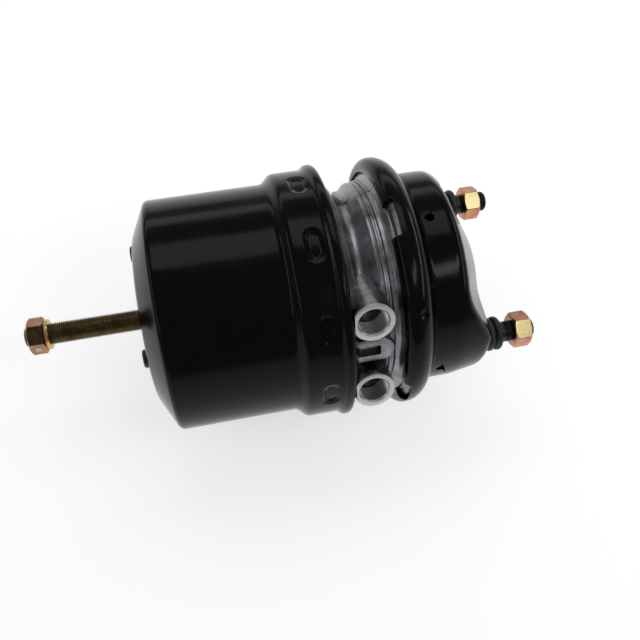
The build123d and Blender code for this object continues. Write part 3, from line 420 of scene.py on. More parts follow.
def spin_line(bm, steps=192):
    """Turns the whole line round X and closes the seam and any pole."""
    bmesh.ops.spin(bm, geom=bm.verts[:] + bm.edges[:], cent=(0, 0, 0), axis=(1, 0, 0),
                   angle=2 * pi, steps=steps, use_merge=True)
    bmesh.ops.remove_doubles(bm, verts=bm.verts, dist=1e-6)


def lathe(points, bends=None, closed=False, steps=192, segments=6):
    """A turned surface. Bends maps a point's number to the radius of its corner."""
    bm = bmesh.new()
    verts, _ = draw_line(bm, points, closed)
    for number, radius in (bends or {}).items():
        round_corner(bm, verts[number], radius, segments)
    spin_line(bm, steps)
    return bm


def break_edges(bm, width_mm, segments=2, angle=40):
    """Bevels every sharp edge, as a press or a file leaves it."""
    sharp = [e for e in bm.edges if len(e.link_faces) == 2 and e.calc_face_angle(0) > radians(angle)]
    bmesh.ops.bevel(bm, geom=sharp, offset=width_mm * MM, offset_type="OFFSET", segments=segments,
                    profile=0.5, affect="EDGES", clamp_overlap=True, material=-1)


def thicken(bm, wall_mm):
    """Gives a sheet its wall, inwards from the outside that was drawn."""
    bmesh.ops.recalc_face_normals(bm, faces=bm.faces)
    outermost = max(bm.faces, key=lambda f: f.calc_center_median().yz.length)
    centre = outermost.calc_center_median()
    if outermost.normal.dot(Vector((0, centre.y, centre.z))) < 0:
        bmesh.ops.reverse_faces(bm, faces=bm.faces)
    bm.normal_update()
    outward = bm.verts.layers.float_vector.new("outward")
    for vert in bm.verts:
        vert[outward] = vert.normal
    made = bmesh.ops.extrude_face_region(bm, geom=bm.faces[:], use_keep_orig=True)
    for vert in (item for item in made["geom"] if isinstance(item, bmesh.types.BMVert)):
        vert.co -= vert[outward] * wall_mm * MM
    bmesh.ops.recalc_face_normals(bm, faces=bm.faces)


def angle_of(point):
    """Angle about X, from +Y towards +Z."""
    return atan2(point.z, point.y)


def wrapped(angle):
    return (angle + pi) % (2 * pi) - pi


def finish_piece(name, bm, body, slot, replaces=(), material=None, sharp=35, closed=True):
    """Makes the object, shades it, parents it to its body's empty, gives it the slot's material unless
    another is given, and hides the nodes it replaces.
    """
    if closed:
        bmesh.ops.recalc_face_normals(bm, faces=bm.faces)
    mesh = bpy.data.meshes.new(name)
    bm.to_mesh(mesh)
    bm.free()
    mesh.shade_smooth()
    mesh.set_sharp_from_angle(angle=radians(sharp))
    mesh.materials.append(material or slot_material[slot])
    piece = bpy.data.objects.new(name, mesh)
    bpy.context.collection.objects.link(piece)
    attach(piece, body)
    if replaces:
        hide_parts(*replaces)
    print(name, "faces", len(mesh.polygons))
    return piece


def shifted(bm, y=0.0):
    bmesh.ops.translate(bm, verts=bm.verts, vec=(0, y * MM, 0))
    return bm


def joined(parts):
    """Puts several bmeshes into one piece."""
    whole = bmesh.new()
    for part in parts:
        mesh = bpy.data.meshes.new("part")
        part.to_mesh(mesh)
        part.free()
        whole.from_mesh(mesh)
        bpy.data.meshes.remove(mesh)
    return whole


# %% [markdown]
# ## Spring housing
# A deep-drawn steel pot. Its skirt steps out over the flange, ten stadium-shaped dents are pressed
# in to grip it, and the edge is folded over. The dents are made as a press makes them: the skirt
# gets a fine mesh and its points are pushed inwards under each punch.

# %% Pressed dents
def stadium_distance(along, across, half_run):
    """Distance from a stadium's centre line, which runs half_run to each side."""
    return hypot(max(abs(along) - half_run, 0), across)


def ease(value):
    value = min(max(value, 0), 1)
    return value * value * (3 - 2 * value)


def dent_depth(along, across):
    """How deep the punch presses, in millimetres: a shallow rim, then a deeper slot."""
    shallow = ease((6.9 - stadium_distance(along, across, 6.1)) / 1.5)
    deep = ease((4.8 - stadium_distance(along, across, 5.8)) / 1.5)
    return 0.8 * shallow + 1.3 * deep


# %% The housing's outside, its dents and its wall
BARREL_R = 86.7
SKIRT_R = 93.4
CRIMP_R = 96.6
CRIMP_EDGE_R = 91.2
DENT_X = CRIMP_FRONT - 17.6
DENT_PITCH = 2 * pi / 10


def make_spring_housing():
    bm = bmesh.new()
    verts, edges = draw_line(bm, [
        (END_FACE, 13), (END_FACE, 34), (END_FACE + 0.8, 60), (END_FACE + 13.8, BARREL_R),
        (END_FACE + 101.1, BARREL_R), (END_FACE + 107.6, SKIRT_R), (CRIMP_FRONT - 27.5, SKIRT_R),
        (CRIMP_FRONT - 9.2, SKIRT_R), (CRIMP_FRONT - 6, CRIMP_R), (CRIMP_FRONT, CRIMP_R),
        (CRIMP_FRONT, CRIMP_EDGE_R)])
    for number, radius, segments in ((1, 20, 3), (2, 20, 5), (3, 4.5, 7), (4, 6, 4), (5, 6, 4),
                                     (7, 3.4, 3), (8, 3.4, 4), (9, 3.3, 5)):
        round_corner(bm, verts[number], radius, segments)
    bm.edges.ensure_lookup_table()
    for edge in [e for e in bm.edges if e.calc_length() > 12 * MM]:
        fine = max(v.co.x for v in edge.verts) > (CRIMP_FRONT - 14) * MM
        spacing = 0.9 if fine else 12
        bmesh.ops.subdivide_edges(bm, edges=[edge], cuts=int(edge.calc_length() / (spacing * MM)))
    spin_line(bm, 600)
    for vert in bm.verts:
        x = vert.co.x / MM
        radius = hypot(vert.co.y, vert.co.z) / MM
        if CRIMP_FRONT - 29 < x < CRIMP_FRONT - 8 and radius > 90:
            turn = (angle_of(vert.co) - PORT_ANGLE) % DENT_PITCH - DENT_PITCH / 2
            depth = dent_depth(turn * radius, x - DENT_X)
            vert.co.yz *= (radius - depth) / radius
        if x > CRIMP_FRONT - 0.01 and radius < CRIMP_EDGE_R + 0.3:
            tooth = 0.45 * sin(100 * angle_of(vert.co)) * (1 + 0.5 * sin(7 * angle_of(vert.co)))
            vert.co.yz *= (radius - 0.5 + tooth) / radius
    thicken(bm, WALL)
    break_edges(bm, 0.35)
    finish_piece("spring_pot", bm, "housing", "black_enamel", ["spring_housing"], closed=False)


make_spring_housing()

# %% [markdown]
# ## Service housing
# The front drum is pressed too. Its rim is rolled over the flange ring, with four windows where
# the lip is cut back. Its face is not round: a flat bridge between the studs stays high while the
# metal falls away on both sides.

# %% The height of the front face
PAD_HALF_WIDTH = 19.7
HUB_FLAT_R = 35.2
HUB_HOLE_R = 31
DRUM_R = 80.7


def crease(distance, half_width):
    """Zero before a fold, then the distance past it, with the fold itself rounded."""
    if distance < -half_width:
        return 0
    if distance > half_width:
        return distance
    return (distance + half_width) ** 2 / (4 * half_width)


def front_height(radius, angle):
    """X of the front surface: the higher of the bridge and the cone round the hub."""
    bridge = -0.62 * crease(abs(radius * sin(angle)) - PAD_HALF_WIDTH, 3.5)
    cone = -0.5 * crease(radius - HUB_FLAT_R, 2.5)
    blend = min(5, -(bridge + cone))
    if blend <= 0:
        return 0
    overlap = max(blend - abs(bridge - cone), 0)
    return min(max(bridge, cone) + overlap ** 2 / (4 * blend), 0)


def drum_radius(x):
    """The drum's slight taper towards the mounting face."""
    return DRUM_R - 4.1 * (1 - min(-x / 27.2, 1))


# %% [markdown]
# The sheet is spun as a flat strip of numbered rings. Each point of a ring is then moved to the
# section at its own angle: across the face, round the corner on a smooth curve, and down the wall.

# %% Rings of the front
FACE_RINGS = 26
CORNER_RINGS = 9
DRUM_RINGS = 9
DRUM_FOOT = -46.9
RIM_R = 95.8
LIP_EDGE_R = 86


def front_section(share, angle):
    """The point of the section at an angle: share 0 to 1 is the face, to 2 the corner, to 3 the wall."""
    edge_r = 78.0
    for _ in range(4):
        edge_r = drum_radius(front_height(edge_r, angle))
    edge_x = front_height(edge_r, angle)
    fall = max((front_height(edge_r - 2, angle) - edge_x) / 2, 0)
    leg = 9.4 * tan((pi / 2 - atan2(fall, 1) - 0.15) / 2)
    start_r = edge_r - leg / hypot(1, fall)
    end_x = edge_x - leg
    if share <= 1:
        radius = HUB_HOLE_R + (start_r - HUB_HOLE_R) * share
        return front_height(radius, angle), radius
    if share <= 2:
        t = share - 1
        start_x = front_height(start_r, angle)
        x = (1 - t) ** 2 * start_x + 2 * t * (1 - t) * edge_x + t * t * end_x
        radius = (1 - t) ** 2 * start_r + 2 * t * (1 - t) * edge_r + t * t * drum_radius(end_x)
        return x, radius
    x = end_x + (DRUM_FOOT + 1.5 - end_x) * (share - 2)
    return x, drum_radius(x)


def pierce(bm, centre, radius, reach):
    """Cuts a round hole in a fine sheet: opens the mesh, then bridges it to a circle."""
    centre = Vector(centre)
    gone = [f for f in bm.faces if (f.calc_center_median() - centre).length < reach]
    border = set(e for f in gone for e in f.edges if any(g not in gone for g in e.link_faces))
    bmesh.ops.delete(bm, geom=gone, context="FACES")
    border = [e for e in border if e.is_valid]
    outward = Vector((0, centre.y, centre.z)).normalized()
    turn = Vector((0, 0, 1)).rotation_difference(outward).to_matrix().to_4x4()
    circle = bmesh.ops.create_circle(bm, segments=len(border), radius=radius,
                                     matrix=Matrix.Translation(centre) @ turn)["verts"]
    for vert in circle:
        side = vert.co - centre
        vert.co = centre + side - outward * (side.yz.length ** 2 / (2 * centre.yz.length))
    ring = list(set(e for v in circle for e in v.link_edges))
    bmesh.ops.bridge_loops(bm, edges=border + ring)


def make_service_housing():
    bm = bmesh.new()
    layer = bm.verts.layers.float.new("share")
    shares = [i / FACE_RINGS for i in range(FACE_RINGS)]
    shares += [1 + i / CORNER_RINGS for i in range(CORNER_RINGS)]
    shares += [2 + i / DRUM_RINGS for i in range(DRUM_RINGS + 1)]
    strip = [(0, HUB_HOLE_R + i) for i in range(len(shares))]
    rim = [(DRUM_FOOT, DRUM_R), (DRUM_FOOT - 9.7, RIM_R), (LIP_BACK + 8.3, RIM_R),
           (LIP_BACK + 7.6, RIM_R), (LIP_BACK, RIM_R), (LIP_BACK, LIP_EDGE_R)]
    verts, _ = draw_line(bm, strip + rim)
    for vert in verts:
        vert[layer] = -1
    for vert, share in zip(verts, shares):
        vert[layer] = share
    rim_verts = verts[len(strip):]
    verts[len(strip) - 1].co = ((DRUM_FOOT + 1.5) * MM, DRUM_R * MM, 0)
    round_corner(bm, rim_verts[1], 13, 9)
    round_corner(bm, rim_verts[4], 7, 9)
    behind_drum = [e for e in bm.edges if min(v.co.x for v in e.verts) < DRUM_FOOT * MM]
    long_ones = [e for e in behind_drum if e.calc_length() > 5 * MM]
    bmesh.ops.subdivide_edges(bm, edges=long_ones, cuts=3)
    spin_line(bm, 288)
    for vert in bm.verts:
        share = vert[layer]
        if share >= 0 and vert.co.x > (DRUM_FOOT + 1) * MM:
            angle = angle_of(vert.co)
            x, radius = front_section(share, angle)
            vert.co = Vector((x, radius * cos(angle), radius * sin(angle))) * MM
    return bm


# %% [markdown]
# The four windows are cut while the rim is still a thin sheet, then come the drain holes and the
# locating dents, and only then the wall, so that every cut edge gets the sheet's own thickness.

# %% Windows, drain holes, dents and wall
WINDOW_HALF_ANGLE = radians(8.8)
WINDOW_TURN = radians(2.6)
WINDOW_DEPTH = 5.3
RIM_DENT_X = (LIP_BACK + DRUM_FOOT) / 2
DRAIN_X = -40
DRAIN_R = 3.2


def cut_windows(bm):
    gone = []
    for face in bm.faces:
        centre = face.calc_center_median()
        turn = abs(wrapped(4 * (angle_of(centre) - WINDOW_TURN))) / 4
        on_lip = centre.x < (LIP_BACK + WINDOW_DEPTH) * MM and centre.yz.length > (LIP_EDGE_R - 2) * MM
        if on_lip and turn < WINDOW_HALF_ANGLE:
            gone.append(face)
    bmesh.ops.delete(bm, geom=gone, context="FACES")


def press_rim_dents(bm):
    for angle in (radians(135), radians(315)):
        centre = Vector((RIM_DENT_X, RIM_R * cos(angle), RIM_R * sin(angle))) * MM
        for vert in bm.verts:
            distance = (vert.co - centre).length / MM
            if distance < 5:
                vert.co.yz *= 1 - 1.3 * MM * ease((4.2 - distance) / 2.4) / vert.co.yz.length


def finish_service_housing():
    bm = make_service_housing()
    cut_windows(bm)
    press_rim_dents(bm)
    for quarter in range(4):
        angle = quarter * pi / 2
        centre = Vector((DRAIN_X, DRUM_R * cos(angle), DRUM_R * sin(angle))) * MM
        pierce(bm, centre, DRAIN_R * MM, (DRAIN_R + 1.4) * MM)
    thicken(bm, WALL)
    break_edges(bm, 0.4)
    finish_piece("service_drum", bm, "housing", "black_enamel", ["service_housing"], closed=False)


finish_service_housing()

# %% [markdown]
# ## Centre flange
# The flange is one aluminium casting: a turned body with two port bosses and a web between them.
# From the clamped ring the section slopes down to a smooth band, then come a groove, two fine ridges
# and the neck. Where the round bosses run into the sloping neck, their meeting line is a crisp curve,
# as on the real casting, so they are simply set into it.

# %% The flange's turned body
GRIP_BACK = CLAMP_FACE - 7.3
GRIP_R = 92.3
BAND_BACK = GRIP_BACK - 8
BAND_R = 80
NECK_R = 70.4
FLANGE_EDGE_R = 90.4


def flange_body():
    neck_front = PORT_X + 2.5
    neck_back = PORT_X - 2.5
    bead = BAND_BACK - 1.8
    return lathe([
        (CLAMP_FACE - 0.2, 79), (CLAMP_FACE - 0.2, GRIP_R), (GRIP_BACK, GRIP_R), (GRIP_BACK, 85.4),
        (GRIP_BACK - 1.2, 85.2), (GRIP_BACK - 4.6, BAND_R + 0.2), (BAND_BACK, BAND_R), (BAND_BACK, 78),
        (bead, 78), (bead - 0.3, 79.5), (bead - 1.9, 79.5), (bead - 2.3, 78.3), (bead - 3, 78.3),
        (bead - 3.4, 79.3), (bead - 5.4, 78.9), (neck_front, NECK_R), (neck_back, NECK_R),
        (neck_back - 3.4, 76.7), (neck_back - 3.9, 79.0), (neck_back - 4.7, 79.3),
        (CRIMP_FRONT + 0.4, FLANGE_EDGE_R), (CRIMP_FRONT - 3, FLANGE_EDGE_R), (CRIMP_FRONT - 3, 60),
        (PORT_X, 56), (BAND_BACK - 7.8, 57.4)],
        bends={2: 4, 3: 0.5, 4: 2, 5: 3, 6: 0.7, 7: 0.4, 8: 0.4, 9: 0.4, 10: 0.5, 11: 0.3, 12: 0.3,
               13: 0.4, 14: 1.4, 15: 4, 16: 4, 17: 1.0, 18: 0.5, 19: 0.5}, closed=True, steps=288)


def turned_to_port(height, across=0.0, x=PORT_X):
    """A matrix that lays local Z along the ports' direction at a height from the axis."""
    return (Matrix.Rotation(PORT_ANGLE - pi / 2, 4, "X")
            @ Matrix.Translation(Vector((x, -across, height)) * MM))


def around(angle_degrees, height, x):
    """A matrix that lays local Z along a direction about X."""
    return (Matrix.Rotation(radians(angle_degrees) - pi / 2, 4, "X")
            @ Matrix.Translation(Vector((x, 0, height)) * MM))


# %% [markdown]
# Holes are cut with a boolean, as the real ones are drilled after casting. The exact solver is
# slower than the fast one but seldom leaves a torn edge.

# %% A boolean cut
PORT_SIDES = (-30, 30)
BORE_R = 12
PARTING_ANGLE = 64.5


def drill(piece, cutter_bm):
    mesh = bpy.data.meshes.new("cutters")
    bmesh.ops.recalc_face_normals(cutter_bm, faces=cutter_bm.faces)
    cutter_bm.to_mesh(mesh)
    cutter_bm.free()
    cutter = bpy.data.objects.new("cutters", mesh)
    bpy.context.collection.objects.link(cutter)
    modifier = piece.modifiers.new("drill", "BOOLEAN")
    modifier.operation = "DIFFERENCE"
    modifier.solver = "EXACT"
    modifier.object = cutter
    evaluated = piece.evaluated_get(bpy.context.evaluated_depsgraph_get())
    result = bpy.data.meshes.new_from_object(evaluated)
    piece.modifiers.clear()
    piece.data = result
    bpy.data.objects.remove(cutter)
    result.shade_smooth()
    result.set_sharp_from_angle(angle=radians(35))
    print(piece.name, "faces after cutting", len(result.polygons))


def bore_cutters():
    """Round holes where the ports' threads lie, and the die's parting line across the band."""
    bm = bmesh.new()
    for across in PORT_SIDES:
        bmesh.ops.create_cone(bm, cap_ends=True, segments=64, radius1=BORE_R * MM,
                              radius2=BORE_R * MM, depth=24 * MM, matrix=turned_to_port(86, across))
    slot = Matrix.Diagonal((9 * MM, 0.9 * MM, 12 * MM, 1))
    middle_of_band = around(PARTING_ANGLE, 85.3, (GRIP_BACK + BAND_BACK) / 2)
    bmesh.ops.create_cube(bm, size=1.0, matrix=middle_of_band @ slot)
    return bm


casting = finish_piece("flange_casting", flange_body(), "housing", "cast_aluminium", ["centre_flange"])
drill(casting, bore_cutters())


# %% [markdown]
# The bosses are thick tubes with a slightly wider foot. The folded edge of the spring housing is so
# close that the casting is cut flat there.

# %% Port bosses
BOSS_FLAT = CRIMP_FRONT + 0.4
MOUTH_R = 14.9


def cut_flat(bm):
    for vert in bm.verts:
        vert.co.x = max(vert.co.x, BOSS_FLAT * MM)


def make_bosses():
    tubes = []
    for across in PORT_SIDES:
        tube = lathe([(50, 11.8), (89.4, 11.8), (89.4, MOUTH_R), (74, 15.0), (60, 15.4), (50, 15.8)],
                     bends={2: 0.5}, closed=True, steps=96, segments=3)
        lay = Matrix.Rotation(PORT_ANGLE, 4, "X") @ Matrix.Translation(Vector((PORT_X, 0, -across)) * MM)
        bmesh.ops.transform(tube, matrix=lay @ Matrix.Rotation(pi / 2, 4, "Z"), verts=tube.verts)
        tubes.append(tube)
    whole = joined(tubes)
    cut_flat(whole)
    return whole


finish_piece("port_bosses", make_bosses(), "housing", "cast_aluminium", sharp=30)

# %% [markdown]
# The web is a block with one round end and a pocket that saves metal. Its outline is extruded and
# its edges are rounded before the pocket is cut.

# %% The web between the ports
WEB_TOP = 82.5
WEB_FOOT = 60
WEB_HALF = 9.4


def make_web():
    bm = bmesh.new()
    front = PORT_X + 8
    outline = [(BOSS_FLAT, -WEB_HALF), (front, -WEB_HALF)]
    outline += [(front + WEB_HALF * sin(i * pi / 16), -WEB_HALF * cos(i * pi / 16)) for i in range(1, 16)]
    outline += [(front, WEB_HALF), (BOSS_FLAT, WEB_HALF)]
    lay = turned_to_port(0, 0, 0)
    verts = [bm.verts.new(lay @ (Vector((x, across, WEB_FOOT)) * MM)) for x, across in outline]
    base = bm.faces.new(verts)
    top = bmesh.ops.extrude_face_region(bm, geom=[base])["geom"]
    top_verts = [item for item in top if isinstance(item, bmesh.types.BMVert)]
    lift = lay.to_3x3() @ Vector((0, 0, (WEB_TOP - WEB_FOOT) * MM))
    bmesh.ops.translate(bm, verts=top_verts, vec=lift)
    bmesh.ops.recalc_face_normals(bm, faces=bm.faces)
    break_edges(bm, 1.1, 3)
    return bm


def pocket_cutter():
    bm = bmesh.new()
    size = Matrix.Diagonal((16.5 * MM, 8.2 * MM, 14 * MM, 1))
    bmesh.ops.create_cube(bm, size=1.0, matrix=turned_to_port(81, 0, PORT_X - 1.4) @ size)
    break_edges(bm, 1.2, 3)
    return bm


web = finish_piece("port_web", make_web(), "housing", "cast_aluminium", sharp=30)
drill(web, pocket_cutter())

# %% [markdown]
# Far round the neck the casting has one low, flat pad, where the die's ejector pins push.

# %% Ejector pad
def make_pad():
    bm = bmesh.new()
    size = Matrix.Diagonal((10 * MM, 26 * MM, 22 * MM, 1))
    bmesh.ops.create_cube(bm, size=1.0, matrix=around(50, 62.4, PORT_X + 3.4) @ size)
    break_edges(bm, 2.2, 4)
    return bm


finish_piece("ejector_pad", make_pad(), "housing", "cast_aluminium", sharp=50)


# %% [markdown]
# ## Threads
# A screw thread is a spin that also moves: draw the tooth over exactly one pitch, spin it several
# turns, and step along the axis by one pitch per turn. The turns then meet edge to edge. Two plane
# cuts square off the ends.

# %% Thread surface
PITCH = 1.5


def thread_surface(start, end, crest_r, root_r, per_turn=28, pitch=PITCH):
    """An open threaded surface about X between two stations, in millimetres."""
    bm = bmesh.new()
    draw_line(bm, [(start - pitch, root_r), (start - 0.75 * pitch, root_r),
                   (start - 0.4375 * pitch, crest_r), (start - 0.3125 * pitch, crest_r), (start, root_r)])
    turns = int((end - start) / pitch) + 2
    bmesh.ops.spin(bm, geom=bm.verts[:] + bm.edges[:], cent=(0, 0, 0), axis=(1, 0, 0),
                   angle=2 * pi * turns, steps=per_turn * turns, dvec=(pitch * MM / per_turn, 0, 0),
                   use_merge=False)
    bmesh.ops.remove_doubles(bm, verts=bm.verts, dist=2e-6)
    for station, outer in ((start, False), (end, True)):
        bmesh.ops.bisect_plane(bm, geom=bm.verts[:] + bm.edges[:] + bm.faces[:], dist=1e-7,
                               plane_co=(station * MM, 0, 0), plane_no=(1, 0, 0),
                               clear_outer=outer, clear_inner=not outer)
    return bm


def threaded_bar(start, end, crest_r=8.0, root_r=7.08, tip_break=1.2, per_turn=28):
    """A closed threaded bar with both ends cut to a cone."""
    bm = thread_surface(start, end, crest_r, root_r, per_turn)
    rims = [e for e in bm.edges if e.is_boundary]
    bmesh.ops.holes_fill(bm, edges=rims, sides=0)
    for vert in bm.verts:
        from_tip = min(vert.co.x / MM - start, end - vert.co.x / MM)
        limit = (root_r - 0.5 + max(from_tip, 0)) * MM
        if from_tip < tip_break + 1 and vert.co.yz.length > limit:
            vert.co.yz *= limit / vert.co.yz.length
    return bm


# %% [markdown]
# ## Hexagon nuts
# A nut is the overlap of a hexagonal bar and two blunt cones: that overlap is what gives each flat
# its curved upper edge. Rings of a round bar are spun, and each point is pulled in to whichever of
# the two limits is nearer.

# %% Nut body
def make_nut(back, height, bore_r, turn_degrees, flats=24.0):
    """A nut about X, its bore open, with a 30 degree chamfer at both faces."""
    corner_r = flats / sqrt(3)
    rows = [0, 0.35, 0.7, 1.05, 1.4, 1.75, height / 2]
    rows = [back + r for r in rows] + [back + height - r for r in rows[-2::-1]]
    points = [(back, bore_r)] + [(x, corner_r) for x in rows] + [(back + height, bore_r)]
    bm = lathe(points, closed=True, steps=144)
    turn = radians(turn_degrees)
    for vert in bm.verts:
        radius = vert.co.yz.length / MM
        if radius < bore_r + 0.1:
            continue
        sector = (angle_of(vert.co) - turn) % (pi / 3) - pi / 6
        from_face = min(vert.co.x / MM - back, back + height - vert.co.x / MM)
        chamfer = flats / 2 - 0.35 + from_face / tan(radians(30))
        limit = min(flats / 2 / cos(sector), chamfer)
        vert.co.yz *= limit / radius
    return bm


HEX_TURN = 26.3
STUD_SPACING = 120.65


# %% [markdown]
# ## Studs, nuts and rubber sleeves
# Each stud is bare for a few millimetres between its rubber sleeve and the nut. The nut on the far
# stud is screwed on a little further, so more thread stands out of it.

# %% Studs
NUT_BACKS = {-1: 22.0, 1: 18.5}
STUD_TIP = 38.5
BARE_END = 15.5
STUD_NUT_HEIGHT = 13
NUT_BORE_R = 7.6


def make_stud(side):
    bare = lathe([(-15, 0), (-15, 12), (-9, 12), (-9, 7.9), (BARE_END, 7.9), (BARE_END, 0)], steps=48)
    return [shifted(bare, side * STUD_SPACING / 2),
            shifted(threaded_bar(BARE_END, STUD_TIP), side * STUD_SPACING / 2)]


finish_piece("stud_pair", joined(make_stud(-1) + make_stud(1)), "housing", "zinc_steel",
             ["mounting_studs"], material=phosphate)

# %% Nuts on the studs
nut_parts = []
for side, back in NUT_BACKS.items():
    nut = make_nut(back, STUD_NUT_HEIGHT, NUT_BORE_R, HEX_TURN)
    nut_parts.append(shifted(nut, side * STUD_SPACING / 2))
finish_piece("stud_nut_pair", joined(nut_parts), "housing", "yellow_zinc", ["mounting_nuts"],
             material=nut_zinc, sharp=25)


# %% Ribbed sleeves
def make_sleeve(side):
    points = [(-3.1, 8.1), (-3.1, 10.8), (0.2, 10.8), (0.2, 12.9), (6.0, 12.9), (6.0, 10.9), (6.6, 10.9),
              (6.6, 12.9), (12.2, 12.9), (12.2, 8.1)]
    bends = {3: 2.7, 4: 2.7, 7: 2.7, 8: 2.7}
    return shifted(lathe(points, bends, closed=True, steps=72, segments=5), side * STUD_SPACING / 2)


finish_piece("ribbed_sleeves", joined([make_sleeve(-1), make_sleeve(1)]), "housing", "black_rubber",
             ["stud_sleeves"])

# %% [markdown]
# ## Release bolt
# The bolt that cages the spring stands out of the back. Its nut is locked by a cross pin, which
# shows as a small round mark on two flats, and a plain washer lies against the nut.

# %% Release bolt, nut, washer and pin
BOLT_HEAD_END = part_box("release_bolt")[1].x / MM
long_thread = threaded_bar(BOLT_TIP, END_FACE + 8, per_turn=20)
plain_end = lathe([(END_FACE + 7, 0), (END_FACE + 7, 7.5), (BOLT_HEAD_END - 8, 7.5),
                   (BOLT_HEAD_END - 8, 11.6), (BOLT_HEAD_END, 11.6), (BOLT_HEAD_END, 0)],
                  bends={3: 0.8, 4: 0.8}, steps=48)
finish_piece("caging_bolt", joined([long_thread, plain_end]), "release_bolt", "olive_zinc",
             ["release_bolt"])

NUT_BACK = BOLT_TIP + 2.6
NUT_HEIGHT = 12
finish_piece("caging_nut", make_nut(NUT_BACK, NUT_HEIGHT, NUT_BORE_R, HEX_TURN), "release_bolt",
             "olive_zinc", ["release_nut"], material=release_nut_zinc, sharp=25)

WASHER_BACK = NUT_BACK + NUT_HEIGHT
WASHER_FRONT = WASHER_BACK + 3
WASHER_R = 11.2
washer = lathe([(WASHER_BACK, 8.1), (WASHER_BACK, WASHER_R), (WASHER_FRONT, WASHER_R), (WASHER_FRONT, 8.1)],
               bends={1: 0.6, 2: 0.6}, closed=True, steps=96)
finish_piece("caging_washer", washer, "release_bolt", "yellow_zinc", ["release_washer"])

# %% Cross pin
PIN_R = 2.5
pin = bmesh.new()
bmesh.ops.create_cone(pin, cap_ends=True, segments=32, radius1=PIN_R * MM, radius2=PIN_R * MM,
                      depth=24.3 * MM, matrix=around(HEX_TURN + 150, 0, NUT_BACK + NUT_HEIGHT / 2))
break_edges(pin, 0.3)
finish_piece("cross_pin", pin, "release_bolt", "zinc_steel", ["release_nut_pin"])


# %% [markdown]
# ## Machined port mouths
# Each port has a faced ring, a countersink, an M22 thread and a drilled floor. They are made on their
# own about X and then set into the boss. The thread is drawn a little coarser and deeper than it is,
# so that it still shows when the whole chamber is in view.

# %% Port mouths, threads and floors
PORT_FACE = 90.0
TAP_CREST_R = 10.0
TAP_ROOT_R = 11.2
TAP_PITCH = 2
TAP_DEPTH = 16.5


def facing_axis(bm):
    """Turns the faces of a hole's wall towards the X axis."""
    bm.normal_update()
    if sum(face.normal.yz.dot(face.calc_center_median().yz) for face in bm.faces) > 0:
        bmesh.ops.reverse_faces(bm, faces=bm.faces)
    return bm


def laid_in_port(bm, across):
    """Takes a piece made about X with its mouth at x = 0 and lays it along the port."""
    lay = turned_to_port(PORT_FACE, across) @ Matrix.Rotation(-pi / 2, 4, "Y")
    bmesh.ops.transform(bm, matrix=lay, verts=bm.verts)
    cut_flat(bm)
    return bm


for label, across in zip(("parking", "service"), PORT_SIDES):
    mouth_centre = turned_to_port(PORT_FACE, across).translation
    mouth = lathe([(-1.4, 10.4), (0, 11.4), (0, MOUTH_R), (-2.6, MOUTH_R), (-2.6, 11.9), (-1.4, 11.7)],
                  bends={2: 0.4}, closed=True, steps=96, segments=2)
    finish_piece(label + "_port_mouth", laid_in_port(mouth, across), "housing", "cast_aluminium",
                 material=make_faced_aluminium(mouth_centre), sharp=30)
    thread = facing_axis(thread_surface(-TAP_DEPTH, -1.2, TAP_CREST_R, TAP_ROOT_R, per_turn=40,
                                        pitch=TAP_PITCH))
    # The thread's material paints shade into its roots.
    tapped_aluminium_painted_root_shade = make_tapped_aluminium(mouth_centre, TAP_CREST_R, TAP_ROOT_R)
    finish_piece(label + "_port_thread", laid_in_port(thread, across), "housing", "cast_aluminium",
                 material=tapped_aluminium_painted_root_shade, sharp=30, closed=False)
    floor = lathe([(-21, 0), (-21, 3.5), (-16.2, 3.5), (-15.9, 3.8), (-15.9, 11.8), (-22, 11.8), (-22, 0)],
                  steps=48)
    finish_piece(label + "_port_floor", laid_in_port(floor, across), "housing", "cast_aluminium", sharp=30)

# %% [markdown]
# ## Breather plugs
# Three moulded nylon plugs with round heads close the holes in the end wall.

# %% Breather plugs
PLUG_COUNT = 3
PLUG_RING_R = 48.5
plug_parts = []
for number in range(PLUG_COUNT):
    plug = lathe([(-3.2, 0), (-3.2, 5.2), (-2.6, 6.6), (0.2, 6.6), (0.2, 4), (4.6, 4), (4.6, 0)],
                 bends={1: 0.6, 2: 1.1}, steps=48, segments=3)
    lean = Matrix.Rotation(-atan2(0.8, 26), 4, "Z")
    base = Matrix.Translation(Vector((END_FACE + 0.45, PLUG_RING_R, 0)) * MM)
    turn = Matrix.Rotation(PORT_ANGLE + number * 2 * pi / PLUG_COUNT, 4, "X")
    bmesh.ops.transform(plug, matrix=turn @ base @ lean, verts=plug.verts)
    plug_parts.append(plug)
finish_piece("plug_heads", joined(plug_parts), "housing", "black_plastic", ["breather_plugs"])

# %% [markdown]
# ## Boot and diaphragm
# The boot seals the push rod's opening with one deep fold. The diaphragm is a moulded cup whose bead
# the rim clamps. Both are rubber, so their sections have round folds instead of machined corners.

# %% Push rod boot
boot = lathe([(0.1, 30.9), (-13, 30.9), (-13, 27), (-4.5, 26.4), (-13, 21.6), (-12.6, 17.6), (-2.2, 12.4),
              (-2.2, 10.3), (0.1, 10.3), (0.1, 12.9), (-9.6, 19.4), (-0.2, 25.6)],
             bends={1: 1.2, 2: 1, 3: 1.6, 4: 2, 5: 1.6, 6: 1.2, 8: 0.8, 9: 0.9, 10: 1.6, 11: 1.4},
             closed=True, steps=120, segments=4)
finish_piece("folded_boot", boot, "housing", "black_rubber", ["push_rod_boot"])

